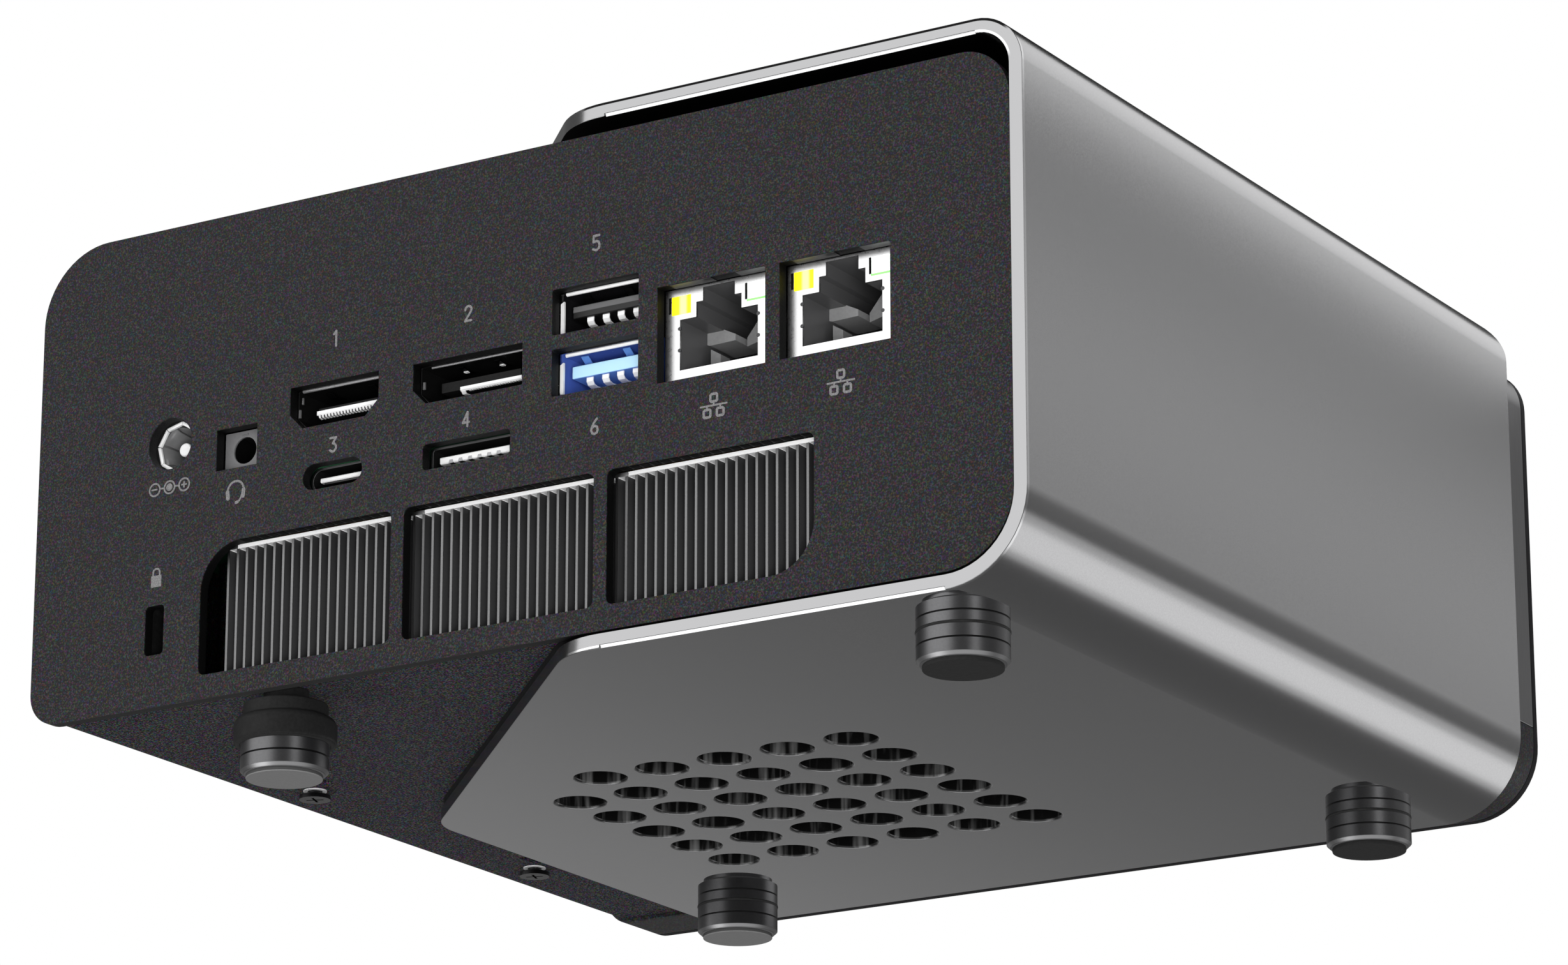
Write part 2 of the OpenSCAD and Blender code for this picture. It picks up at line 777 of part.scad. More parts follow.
// Power inlet: insulating body, spring sleeve and centre pin
module dc_jack() {
    color([0.1, 0.1, 0.1]) in_frame() difference() {
        translate([dc_x - 5, -14, board_top]) cube([10, 14 - recess, 10.4]);
        translate([dc_x, -11.5, dc_z]) rotate([-90, 0, 0]) cylinder(h = 12, r = dc_bore_r + 0.3 + slit / 2);
    }
}

module dc_jack_sleeve() {
    color("silver") in_frame() translate([dc_x, -11.4, dc_z]) rotate([-90, 0, 0]) difference() {
        cylinder(h = 11.4 - recess - 0.1, r = dc_bore_r + 0.3);
        translate([0, 0, -through]) cylinder(h = 12, r = dc_bore_r);
    }
}

module dc_jack_pin() {
    color("silver") in_frame() translate([dc_x, -11.5, dc_z]) rotate([-90, 0, 0])
        cylinder(h = 8.3, r = dc_pin_r);
}

// Headset jack: a block with the plug bore
module plug_block(b, y_face, y_back, bore_z, side) {
    x = (b[0] + b[2]) / 2;
    difference() {
        translate([b[0] + slit, min(y_face, y_back), board_top])
            cube([b[2] - b[0] - 2 * slit, abs(y_back - y_face), b[3] - board_top - slit]);
        translate([x, y_face + side * through, bore_z]) rotate([side * 90, 0, 0]) cylinder(h = 12 + through, r = plug_r);
    }
}

module headset_jack() {
    color([0.3, 0.3, 0.3]) in_frame() plug_block(headset_box, -recess, -recess - 14, board_top + 2.75, 1);
}

// A folded sheet socket: hollow shell of a given outline, closed at the back
module socket_sheet(depth_in, y_face) {
    difference() {
        along_y(y_face - depth_in, y_face) children(0);
        along_y(y_face - depth_in + sheet_t, y_face + through) children(1);
    }
}

module video_socket() {
    color("silver") in_frame() {
        socket_sheet(video_d, -recess) {
            cut_box(video_box, corner_cut, corner_cut, sheet_t);
            cut_box(video_box, corner_cut, corner_cut);
        }
        translate([video_box[0] + 3, -recess - 10, board_top])
            cube([video_box[2] - video_box[0] - 6, 9, video_box[1] - board_top - sheet_t + 0.05]);
    }
}

module display_socket() {
    color("silver") in_frame() {
        socket_sheet(display_d, -recess) {
            cut_box(display_box, slit, corner_cut, sheet_t);
            cut_box(display_box, slit, corner_cut);
        }
        translate([display_box[0] + 3, -recess - 11, board_top])
            cube([display_box[2] - display_box[0] - 6, 10, display_box[1] - board_top - sheet_t + 0.05]);
    }
}

// Contact tongues of the video and display sockets, standing on the shells' back walls
module video_tongues() {
    color([0.1, 0.1, 0.1]) in_frame() for (s = [[video_box, video_d], [display_box, display_d]])
        translate([s[0][0] + 2.4, sheet_t - recess - s[1], s[0][1] + 2.2])
            cube([s[0][2] - s[0][0] - 4.8, s[1] - sheet_t - 1.3, 1.3]);
}

// Small flat sockets on the underside of the board, each with its tongue
module flat_socket(b, r, depth_in, y_face, tongue_t) {
    difference() {
        along_y(y_face - depth_in, y_face) equal_box(b, r, -slit / 2);
        along_y(y_face - depth_in + 1, y_face + through) equal_box(b, max(r - sheet_t, 0.2), -sheet_t - slit / 2);
    }
    mid = (b[1] + b[3]) / 2;
    translate([b[0] + 1.6, y_face - depth_in + 0.5, mid - tongue_t / 2])
        cube([b[2] - b[0] - 3.2, depth_in - 1.3, tongue_t]);
}

module type_c_socket() {
    color("silver") in_frame()
        flat_socket(type_c_box, (type_c_box[3] - type_c_box[1]) / 2 - 0.1, 8, -recess, 0.7);
}

module expansion_socket() {
    color("silver") in_frame() flat_socket(expansion_box, 0.6, 9, -recess, 0.9);
}

// Double type A socket: one folded shell with two openings
module type_a_shell() {
    hi = type_a_high_box;
    lo = type_a_low_box;
    grow = 0.4;
    color("silver") in_frame() difference() {
        translate([lo[0] - grow, -recess - 17, board_top]) cube([lo[2] - lo[0] + 2 * grow, 17, hi[3] + grow - board_top]);
        for (b = [hi, lo])
            translate([b[0] + slit, -recess - 16, b[1] + slit])
                cube([b[2] - b[0] - 2 * slit, 16 + through, b[3] - b[1] - 2 * slit]);
    }
}

module a_tongue(b, y_back, y_tip) {
    translate([b[0] + 1.1, y_back, b[3] - 3.3]) cube([b[2] - b[0] - 2.2, y_tip - y_back, 1.7]);
}

module type_a_tongue_upper() {
    color([0.1, 0.1, 0.1]) in_frame() a_tongue(type_a_high_box, -recess - 16, -recess - 1.2);
}

module type_a_tongue_lower() {
    color("dodgerblue") in_frame() a_tongue(type_a_low_box, -recess - 16, -recess - 1.2);
}

// Outline of the plug opening of a network jack, stepped for the latch
module plug_opening(b) {
    mid = (b[0] + b[2]) / 2;
    low = b[1] + 1.9;
    for (s = [[5.85, 6.8], [3.4, 8.8], [2.4, 10.6]])
        translate([mid - s[0], low]) square([2 * s[0], s[1]]);
}

module light_openings(b) {
    mid = (b[0] + b[2]) / 2;
    for (side = [-1, 1])
        translate([mid + side * 5.65 - 1.45, b[3] - 3.5]) square([2.9, 2.5]);
}

// Shields of the two network jacks, with their stepped front frames
module network_jack_shells() {
    color("silver") in_frame() for (b = network_boxes) {
        difference() {
            along_y(-recess - 19, -recess) equal_box(b, 0, -slit / 2);
            along_y(-recess - 20, -recess - sheet_t) equal_box(b, 0, -sheet_t - slit / 2);
            along_y(-recess - through, -recess + through) {
                plug_opening(b);
                light_openings(b);
            }
        }
    }
}

module network_jack_inserts() {
    color([0.1, 0.1, 0.1]) in_frame() for (b = network_boxes) difference() {
        along_y(-recess - 19, -recess - sheet_t) equal_box(b, 0, -sheet_t - slit / 2);
        along_y(-recess - 14, -recess + through) plug_opening(b);
        along_y(-recess - 4, -recess + through) light_openings(b);
    }
}

module status_lights() {
    color("yellow") in_frame() for (b = network_boxes)
        along_y(-recess - 4, -recess - 0.1) {
            light_openings(b);
        }
}

// Steel bracket behind the lock slot
module lock_bracket() {
    b = lock_box;
    color("gray") in_frame() difference() {
        along_y(-panel_t - 4, -panel_t) equal_box(b, 1.2, 1.2);
        along_y(-panel_t - 3, through) equal_box(b, 0.6);
    }
}

// Sprung power button: cap, flange behind the bezel and a stem towards the switch
module power_button() {
    color([0.3, 0.3, 0.32]) in_frame() translate([button_x, -depth, button_z]) rotate([-90, 0, 0]) {
        cylinder(h = bezel_t + slit + flange_t, r = button_r);
        translate([0, 0, bezel_t + slit]) cylinder(h = flange_t, r = button_r + 1);
        cylinder(h = bezel_t + slit + flange_t + 1, r = 1.5);
    }
}

// Small upright board with the switch behind the button
module button_board() {
    switch_y = -depth + bezel_t + slit + flange_t + 1 + button_travel + 0.2;
    color("darkgreen") in_frame() {
        translate([button_x - 12, switch_y + switch_h, button_z - 12])
            cube([24, 1.6, panel_z1 - 3 - 0.2 - button_z + 12]);
        translate([button_x - 3, switch_y, button_z - 3]) cube([6, switch_h + 0.2, 6]);
    }
}

// Two type A sockets on the front edge of the board
module front_type_a() {
    color("silver") in_frame() for (i = [0, 1]) {
        b = front_a_box(i);
        difference() {
            translate([b[0], bezel_y + slit, board_top]) cube([b[2] - b[0], 14, b[3] - board_top]);
            translate([b[0] + sheet_t, bezel_y - through, b[1] + sheet_t])
                cube([front_a_w - 2 * sheet_t, 14, front_a_h - 2 * sheet_t]);
        }
    }
}

module front_type_a_tongues() {
    color([0.1, 0.1, 0.1]) in_frame() for (i = [0, 1]) {
        b = front_a_box(i);
        translate([b[0] + 1, bezel_y + 1, b[3] - 2.4]) cube([front_a_w - 2, 12, 1.6]);
    }
}

module front_type_c() {
    b = front_c_box;
    r = front_c_h / 2 - 0.05;
    color("silver") in_frame() {
        difference() {
            along_y(bezel_y + slit, bezel_y + 8) equal_box(b, r);
            along_y(bezel_y - through, bezel_y + 7) equal_box(b, r - sheet_t, -sheet_t);
        }
        translate([b[0] + 1.4, bezel_y + 0.9, (b[1] + b[3]) / 2 - 0.35]) cube([front_c_w - 2.8, 6.5, 0.7]);
        translate([b[0] + 1.6, bezel_y + slit, board_top]) cube([front_c_w - 3.2, 7, 0.5]);
    }
}

module front_headset_jack() {
    b = [front_plug_x - 3.2, board_top, front_plug_x + 3.2, board_top + 5.8];
    color([0.1, 0.1, 0.1]) in_frame() plug_block(b, bezel_y + slit, bezel_y + 14, board_top + 2.9, -1);
}

side_shell();
base_spacer();
case_tray();
top_cover();
rear_panel();
front_frame();
front_bezel();
side_trim();
feet();
foot_pads();
foot_collar();
base_screws();
screw_washers();
main_board();
board_screws();
processor();
cold_plate();
heat_pipes();
fin_stack();
blower_housing();
blower_motor();
blower_impeller();
memory_sockets();
memory_modules();
drive_module();
radio_card();
coin_cell();
dc_jack();
dc_jack_sleeve();
dc_jack_pin();
headset_jack();
video_socket();
display_socket();
type_c_socket();
expansion_socket();
type_a_shell();
type_a_tongue_upper();
type_a_tongue_lower();
video_tongues();
network_jack_shells();
network_jack_inserts();
status_lights();
lock_bracket();
power_button();
button_board();
front_type_a();
front_type_a_tongues();
front_type_c();
front_headset_jack();
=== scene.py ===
import math

import bmesh
import bpy
from mathutils import Matrix, Vector


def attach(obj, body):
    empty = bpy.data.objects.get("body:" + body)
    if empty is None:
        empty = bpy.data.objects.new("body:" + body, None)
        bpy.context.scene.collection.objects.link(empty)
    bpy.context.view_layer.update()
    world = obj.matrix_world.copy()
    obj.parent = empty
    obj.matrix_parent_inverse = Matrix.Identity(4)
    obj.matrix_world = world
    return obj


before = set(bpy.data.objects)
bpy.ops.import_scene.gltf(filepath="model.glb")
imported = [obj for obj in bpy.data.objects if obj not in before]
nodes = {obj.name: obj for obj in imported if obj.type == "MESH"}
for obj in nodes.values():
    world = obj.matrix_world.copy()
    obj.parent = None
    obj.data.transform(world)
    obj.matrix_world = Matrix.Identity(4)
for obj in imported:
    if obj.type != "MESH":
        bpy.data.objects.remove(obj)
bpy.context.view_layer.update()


# View: the computer from behind and below, through a long lens whose standpoint lies under
# the level of the desk. The lens is for a 36 mm gate and a frame of 2457 by 1512 pixels.
eye = bpy.data.cameras.new("view")
eye.lens = 133.344
eye.sensor_width = 36.0
eye.clip_start = 0.02
eye.clip_end = 50.0
standpoint = bpy.data.objects.new("view", eye)
standpoint.location = (-0.405443, 0.660659, -0.186821)
standpoint.rotation_euler = (math.radians(107.1696), 0.0, math.radians(211.8034))
bpy.context.scene.collection.objects.link(standpoint)
bpy.context.scene.camera = standpoint
bpy.context.scene.view_settings.view_transform = "Standard"


# Side shell: one sheet of aluminium bent to a C, blasted and anodised dark grey. Its rear rim
# is cut bright after anodising, and its edges are broken by a small bevel. Lines of highlight and
# dark reflection on the rim, and streaks in the intake holes, are painted.
class Shade:
    """One socket in the nodes of a material. Arithmetic on it adds Math nodes."""

    def __init__(self, tree, socket=None):
        self.tree = tree
        self.socket = socket

    def put(self, target, value):
        if isinstance(value, Shade):
            self.tree.links.new(value.socket, target)
        else:
            target.default_value = value

    def make(self, kind, settings=None, values=None, out=0):
        made = self.tree.nodes.new(kind)
        for name, value in (settings or {}).items():
            setattr(made, name, value)
        for name, value in (values or {}).items():
            self.put(made.inputs[name], value)
        return Shade(self.tree, made.outputs[out])

    def math(self, operation, first, second=None):
        values = {0: first} if second is None else {0: first, 1: second}
        return self.make("ShaderNodeMath", {"operation": operation}, values)

    def __add__(self, other):
        return self.math("ADD", self, other)

    def __radd__(self, other):
        return self.math("ADD", other, self)

    def __sub__(self, other):
        return self.math("SUBTRACT", self, other)

    def __rsub__(self, other):
        return self.math("SUBTRACT", other, self)

    def __mul__(self, other):
        return self.math("MULTIPLY", self, other)

    def __rmul__(self, other):
        return self.math("MULTIPLY", other, self)

    def larger(self, other):
        return self.math("MAXIMUM", self, other)

    def step(self, low, high):
        """0 below low, 1 above high, and smooth between them."""
        return self.make("ShaderNodeMapRange", {"interpolation_type": "SMOOTHSTEP"},
                         {"Value": self, "From Min": low, "From Max": high})

    def band(self, low, high, soft=0.00004):
        """1 between low and high, and 0 outside them."""
        return self.step(low - soft, low) * (1 - self.step(high, high + soft))

    def blend(self, first, second):
        """The colour first where this value is 0, and second where it is 1."""
        first = first if isinstance(first, Shade) else (*first, 1.0)
        second = second if isinstance(second, Shade) else (*second, 1.0)
        return self.make("ShaderNodeMix", {"data_type": "RGBA"}, {0: self, 6: first, 7: second}, 2)

    def along(self, axis):
        """One coordinate of the place on the surface, in metres."""
        return self.make("ShaderNodeSeparateXYZ", None, {"Vector": self.place}, axis)

    def cloud(self, scale, detail=2.0, roughness=0.5):
        return self.make("ShaderNodeTexNoise", None, {"Vector": self.place, "Scale": scale,
                                                      "Detail": detail, "Roughness": roughness}, "Fac")

    def drawn_out(self, scale):
        """Noise with a scale of its own along each axis."""
        place = self.make("ShaderNodeMapping", None, {"Vector": self.place, "Scale": scale})
        return self.make("ShaderNodeTexNoise", None, {"Vector": place, "Scale": 1.0, "Detail": 2.0}, "Fac")

    def bump(self, height, depth, strength):
        return self.make("ShaderNodeBump", None,
                         {"Height": height, "Distance": depth, "Strength": strength}, "Normal")


def finish(name, colour, rough, **others):
    """A material. A function given for a socket gets a Shade and returns what feeds it."""
    made = bpy.data.materials.new(name)
    made.use_nodes = True
    surface = made.node_tree.nodes["Principled BSDF"]
    shade = Shade(made.node_tree)
    shade.place = shade.make("ShaderNodeTexCoord", out="Object")
    for socket, value in {"Base Color": colour, "Roughness": rough, **others}.items():
        value = value(shade) if callable(value) else value
        if isinstance(value, tuple) and len(value) == 3:
            value = (*value, 1.0)
        shade.put(surface.inputs[socket.replace("_", " ")], value)
    return made


def relief(scale, depth, strength, detail=2.0):
    """A fine grain in the surface."""
    return lambda shade: shade.bump(shade.cloud(scale, detail), depth, strength)


def dress(material, *names):
    """Gives nodes of the CAD model their finish."""
    for name in names:
        for place in nodes[name].material_slots:
            place.material = material


def soften(name, width, segments=2):
    """Rounds the sharp edges of a node over by a small radius, as the real ones are."""
    holder = nodes[name]
    weld = holder.modifiers.new("weld", "WELD")
    weld.merge_threshold = 1e-6
    flat = holder.modifiers.new("flat", "DECIMATE")
    flat.decimate_type = "DISSOLVE"
    flat.angle_limit = math.radians(0.3)
    edge = holder.modifiers.new("edge", "BEVEL")
    edge.width = width
    edge.segments = segments
    edge.limit_method = "ANGLE"
    edge.angle_limit = math.radians(30)
    even = holder.modifiers.new("even", "WEIGHTED_NORMAL")
    even.mode = "FACE_AREA"
    even.weight = 50


intake_x, intake_y, intake_z = (-0.0227, 0.0357), (-0.0346, 0.0239), (0.00884, 0.0112)
rim_start, rim_full = 0.07455, 0.0748
plate_end = -0.0150
bend_x, bend_z = -0.0703, 0.07525
bend_inner_square, bend_outer_square = (2.58e-5, 2.70e-5), (3.96e-5, 4.04e-5)


def intake_wall(shade):
    """1 on the walls of the intake holes of the lower plate, and 0 elsewhere."""
    area = shade.along("X").band(*intake_x) * shade.along("Y").band(*intake_y)
    return area * shade.along("Z").band(*intake_z)


def shell_colour(shade):
    """Blasted faces and a bright cut rim, with painted light: white highlights on the rim's lower bevel and
    inside its bend, a dark reflection along its top outer edge and outside its bend, and streaks of glint
    and shade in the hole walls.
    """
    blasted = shade.cloud(5200.0).step(0.35, 0.65).blend((0.285, 0.285, 0.289), (0.305, 0.305, 0.309))
    x, y, z = shade.along("X"), shade.along("Y"), shade.along("Z")
    corner = x.step(plate_end - 0.001, plate_end) * y.step(0.0690, rim_full) * z.band(0.00882, 0.0106)
    # Painted highlight: a white line along the rim's lower bevel.
    painted_low_highlight = x.step(plate_end - 0.0001, plate_end) * y.step(0.0735, 0.0742) * z.band(0.00884, 0.00908)
    cut = y.step(rim_start, rim_full).larger(corner)
    across, up = x - bend_x, z - bend_z
    square = across * across + up * up
    bend = 1 - x.step(bend_x, bend_x + 0.0001)
    # Painted dark reflection: a black line along the rim's top outer edge and round the outside of its
    # bend.
    painted_dark_bend = bend * square.step(*bend_outer_square) * z.step(0.0795, 0.0803)
    painted_dark_edge = cut * z.step(0.08157, 0.08161).larger(painted_dark_bend)
    # Painted highlight: a white line inside the rim's bend.
    painted_bend_highlight = cut * bend * (1 - square.step(*bend_inner_square)) * z.step(0.0758, 0.0775)
    rim = painted_bend_highlight.larger(painted_low_highlight).blend(cut.blend(blasted, (0.43, 0.43, 0.435)), (0.98, 0.98, 0.98))
    # Painted glints and shade: light streaks on near black in the walls of the intake holes, which are made
    # dull there.
    painted_glint_streak = shade.drawn_out((700.0, 700.0, 60.0)).step(0.50, 0.74)
    wall = painted_glint_streak.blend((0.004, 0.004, 0.004), (0.13, 0.13, 0.13))
    return painted_dark_edge.blend(intake_wall(shade).blend(rim, wall), (0.010, 0.010, 0.010))


def shell_roughness(shade):
    """A little smoother where the rim is cut."""
    cut = shade.along("Y").step(rim_start, rim_full)
    return 0.19 + 0.04 * shade.cloud(5200.0) - 0.03 * cut


shell_metal = finish("blasted grey anodising", shell_colour, shell_roughness,
                     Metallic=lambda shade: 1 - 0.9 * intake_wall(shade),
                     Normal=relief(9000.0, 0.00001, 0.12, 1.0))
dress(shell_metal, "side_shell")
soften("side_shell", 0.0002)


# Spacer between the case and the lower plate of the shell: a stamped black plate, which
# shows only as a dark step round the edge of the shell.
fine = 2600.0


def clouded(first, second, scale=fine, detail=2.0):
    """A colour that drifts from place to place between two."""
    return lambda shade: shade.cloud(scale, detail).blend(first, second)


def uneven(least, reach, scale=fine):
    """A value that drifts from place to place, from the least upwards."""
    return lambda shade: least + reach * shade.cloud(scale)


spacer_black = finish("black spacer", clouded((0.006, 0.006, 0.006), (0.016, 0.016, 0.016)),
                      uneven(0.55, 0.2, 900.0), Specular_IOR_Level=0.25,
                      Normal=relief(4200.0, 0.00002, 0.5))
dress(spacer_black, "base_spacer")


# Case tray, top cover, rear panel and foot collar: moulded in dark grey with a fine spark
# grain, in which small specks of several tints catch the light. The tray's floor has painted light: its
# grain is made lighter.
grain_scale, floor_painted_light = 3900.0, 2.8


def grain_colour(shade, gain=1.0):
    """Tinted specks on near black, made lighter by the gain."""
    speck = shade.make("ShaderNodeTexVoronoi", None, {"Vector": shade.place, "Scale": 4400.0}, "Color")
    tint = shade.make("ShaderNodeMix", {"data_type": "RGBA", "blend_type": "MULTIPLY"},
                      {0: 1.0, 6: (0.060 * gain, 0.057 * gain, 0.063 * gain, 1.0), 7: speck}, 2)
    return shade.cloud(grain_scale, 2.0, 0.6).step(0.40, 0.62).blend((0.0065, 0.0063, 0.0068), tint)


def grain_relief(shade):
    """Shallow pits in the pattern of the specks."""
    return shade.bump(shade.cloud(grain_scale, 2.0, 0.6), 0.00004, 0.8)


def underside_colour(shade):
    """Painted light: the tray's floor, up to just above its level, has a lighter grain than its walls."""
    above = shade.along("Z").step(0.01225, 0.0126)
    return above.blend(grain_colour(shade, floor_painted_light), grain_colour(shade))


case_plastic = finish("grained dark plastic", grain_colour, uneven(0.42, 0.36, 5600.0),
                      Specular_IOR_Level=0.3, Normal=grain_relief)
dress(case_plastic, "top_cover")
dress(finish("grained underside with painted light", underside_colour, uneven(0.52, 0.36, 5600.0), Specular_IOR_Level=0.06,
             Normal=grain_relief), "case_tray")
dress(spacer_black, "foot_collar")


def panel_colour(shade):
    """The face has the grain; the walls of its openings are smooth and painted near black as shade."""
    painted_recess_shade = shade.along("X").band(-0.0730, 0.0730) * (1 - shade.along("Y").step(0.07418, 0.07432))
    return painted_recess_shade.blend(grain_colour(shade), (0.0025, 0.0025, 0.0025))


dress(finish("grained rear panel", panel_colour, uneven(0.52, 0.16, 5600.0), Specular_IOR_Level=0.3,
             Normal=grain_relief), "rear_panel")
soften("rear_panel", 0.00018)
soften("case_tray", 0.00018)
soften("top_cover", 0.0004)
soften("foot_collar", 0.0004)


# Front frame and bezel: the frame is the same grained plastic as the case, and the bezel that
# is bonded on it is a little smoother. Brushed trim runs up the frame beside the shell.
bezel_plastic = finish("satin bezel", clouded((0.007, 0.007, 0.008), (0.014, 0.013, 0.014), 4200.0),
                       uneven(0.52, 0.14, 3600.0), Specular_IOR_Level=0.08,
                       Normal=relief(6400.0, 0.00002, 0.3))


def brushed(shade):
    """Lines of a brushed surface, drawn out along the height."""
    return shade.drawn_out((9000.0, 9000.0, 240.0))


trim_grey = finish("brushed trim",
                   lambda shade: brushed(shade).blend((0.08, 0.08, 0.082), (0.16, 0.16, 0.163)),
                   lambda shade: 0.26 + 0.12 * brushed(shade), Metallic=1.0,
                   Normal=lambda shade: shade.bump(brushed(shade), 0.00001, 0.2))
dress(case_plastic, "front_frame")
dress(bezel_plastic, "front_bezel")
dress(trim_grey, "side_trim")
soften("front_frame", 0.0005)
soften("front_bezel", 0.0004)
soften("side_trim", 0.0003)


# Marks printed on the rear panel beside the sockets, in light grey ink: polarity, headset,
# lock and network signs, and a plain number where a name would stand. Sizes are in mm.
mm = 0.001


def prism(outline, low, high, axis="Y"):
    """A solid between two values along Y or X. The outline is in the other two directions."""
    count = len(outline)
    corners = [(c, a, b) if axis == "X" else (a, c, b) for c in (low, high) for a, b in outline]
    faces = [tuple(range(count)), tuple(range(2 * count - 1, count - 1, -1))]
    faces += [(i, (i + 1) % count, (i + 1) % count + count, i + count) for i in range(count)]
    return corners, faces


def oblong(x0, z0, x1, z1):
    """The outline of a rectangle, from one corner to the opposite one."""
    return [(x0, z0), (x1, z0), (x1, z1), (x0, z1)]


def piece(name, solids, material, body="case", smooth=None):
    """A visible piece made of one or more closed solids in mm, which moves with a body."""
    corners, faces = [], []
    for more_corners, more_faces in solids:
        faces += [tuple(len(corners) + i for i in face) for face in more_faces]
        corners += more_corners
    mesh = bpy.data.meshes.new(name)
    mesh.from_pydata([tuple(mm * v for v in corner) for corner in corners], [], faces)
    shape = bmesh.new()
    shape.from_mesh(mesh)
    bmesh.ops.recalc_face_normals(shape, faces=shape.faces)
    shape.to_mesh(mesh)
    shape.free()
    if smooth is not None:
        mesh.shade_smooth()
        mesh.set_sharp_from_angle(angle=math.radians(smooth))
    mesh.materials.append(material)
    holder = bpy.data.objects.new(name, mesh)
    bpy.context.scene.collection.objects.link(holder)
    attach(holder, body)
    return holder


def stroke(points, width):
    """Outlines that make one drawn line with round ends and joints."""
    made = []
    for (x0, z0), (x1, z1) in zip(points, points[1:]):
        length = math.hypot(x1 - x0, z1 - z0)
        nx, nz = -(z1 - z0) / length * width / 2, (x1 - x0) / length * width / 2
        made.append([(x0 + nx, z0 + nz), (x1 + nx, z1 + nz), (x1 - nx, z1 - nz), (x0 - nx, z0 - nz)])
    for x, z in points:
        made.append(disc(x, z, width / 2, 12))
    return made


def disc(x, z, radius, count=28):
    """The outline of a disc."""
    turns = [math.tau * i / count for i in range(count)]
    return [(x + radius * math.cos(turn), z + radius * math.sin(turn)) for turn in turns]


def arc(x, z, radius, start, end, steps=14):
    """Points along an arc between two angles in degrees."""
    turns = [math.radians(start + (end - start) * i / steps) for i in range(steps + 1)]
    return [(x + radius * math.cos(turn), z + radius * math.sin(turn)) for turn in turns]


def ink_colour(shade):
    """Uneven, as ink on a grained face is."""
    return shade.cloud(5200.0, 3.0).step(0.3, 0.7).blend((0.14, 0.138, 0.14), (0.25, 0.246, 0.25))


ink = finish("light grey ink", ink_colour, uneven(0.55, 0.2, 4200.0), Specular_IOR_Level=0.2,
             Normal=grain_relief)
panel_face = 74.4


def print_mark(name, outlines):
    """A mark on the face of the panel. Each outline is a little thicker, so no two tops are level."""
    solids = [prism(outline, panel_face, panel_face + 0.02 + 0.0004 * i)
              for i, outline in enumerate(outlines)]
    piece(name, solids, ink)


# Seen from behind, +X lies at the left, so a sign that has a left and a right is drawn with
# its left end at the higher X.
polarity = []
polarity_z = 41.36
for x in (57.05, 54.57, 52.10):
    polarity += stroke(arc(x, polarity_z, 0.86, 0, 360, 24), 0.24)
for left, right in ((56.15, 55.45), (53.70, 53.00), (57.45, 56.65)):
    polarity += stroke([(left, polarity_z), (right, polarity_z)], 0.22)
polarity.append(disc(54.57, polarity_z, 0.52))
polarity += stroke([(52.48, polarity_z), (51.72, polarity_z)], 0.22)
polarity += stroke([(52.10, polarity_z - 0.38), (52.10, polarity_z + 0.38)], 0.22)
print_mark("polarity_mark", polarity)
headset_x, headset_half = 43.5, 1.32
headset = stroke(arc(headset_x, 39.1, headset_half, 5, 175), 0.3)
for side in (-1, 1):
    headset += stroke([(headset_x + headset_half * side, 39.05), (headset_x + 1.22 * side, 38.2)], 0.6)
headset += stroke(arc(43.65, 38.5, 1.15, 190, 245, 6), 0.26) + stroke([(43.15, 37.48), (43.4, 37.42)], 0.42)
print_mark("headset_mark", headset)
padlock = [oblong(57.15, 27.75, 55.45, 29.35)]
padlock += stroke([(56.85, 29.3), *arc(56.3, 29.75, 0.55, 0, 180, 10), (55.75, 29.3)], 0.26)
print_mark("padlock_mark", padlock)
box = [(0.5, 0.35), (0.35, 0.5), (-0.35, 0.5), (-0.5, 0.35), (-0.5, -0.35), (-0.35, -0.5),
       (0.35, -0.5), (0.5, -0.35), (0.5, 0.35)]
for number, (x, z) in enumerate(((-31.5, 38.2), (-50.2, 38.1)), 1):
    network = stroke([(x + 1.95, z), (x - 1.95, z)], 0.24)
    for dx, dz in ((0.0, 1.0), (0.98, -1.0), (-0.98, -1.0)):
        network += stroke([(x + dx + a, z + dz + b) for a, b in box], 0.34)
        network += stroke([(x + dx, z), (x + dx, z + dz * 0.48)], 0.24)
    print_mark(f"network_mark_{number}", network)

# Strokes of the numerals on a grid 1 wide and 2 high, read from the left.
numerals = {
    1: [[(0.2, 1.6), (0.55, 2.0), (0.55, 0.0)]],
    2: [[(0.0, 1.5), *[(0.5 - 0.5 * math.cos(math.radians(t)), 1.5 + 0.5 * math.sin(math.radians(t)))
                       for t in range(15, 181, 15)], (0.85, 1.15), (0.0, 0.0), (1.0, 0.0)]],
    3: [[(0.0, 2.0), (1.0, 2.0), (0.45, 1.2), (0.75, 1.1), (1.0, 0.75), (1.0, 0.4), (0.7, 0.05),
         (0.35, 0.0), (0.0, 0.25)]],
    4: [[(0.75, 0.0), (0.75, 2.0), (0.0, 0.55), (1.0, 0.55)]],
    5: [[(0.95, 2.0), (0.1, 2.0), (0.05, 1.15), (0.5, 1.25), (0.85, 1.1), (1.0, 0.7), (0.9, 0.25),
         (0.5, 0.0), (0.0, 0.2)]],
    6: [[(0.85, 2.0), (0.35, 1.45), (0.05, 0.85), (0.0, 0.5), (0.2, 0.1), (0.5, 0.0), (0.85, 0.15),
         (1.0, 0.5), (0.9, 0.9), (0.5, 1.1), (0.15, 0.9)]],
}
number_places = ((1, 27.65, 56.5, 1.05), (2, 6.4, 56.2, 1.0), (3, 27.7, 41.9, 0.95), (4, 6.5, 41.8, 0.95),
                 (5, -13.5, 62.2, 1.0), (6, -13.5, 37.4, 1.0))
for number, x, z, size in number_places:
    lines = []
    for line in numerals[number]:
        lines += stroke([(x + size * (0.5 - a), z + size * b) for a, b in line], 0.32)
    print_mark(f"number_{number}", lines)
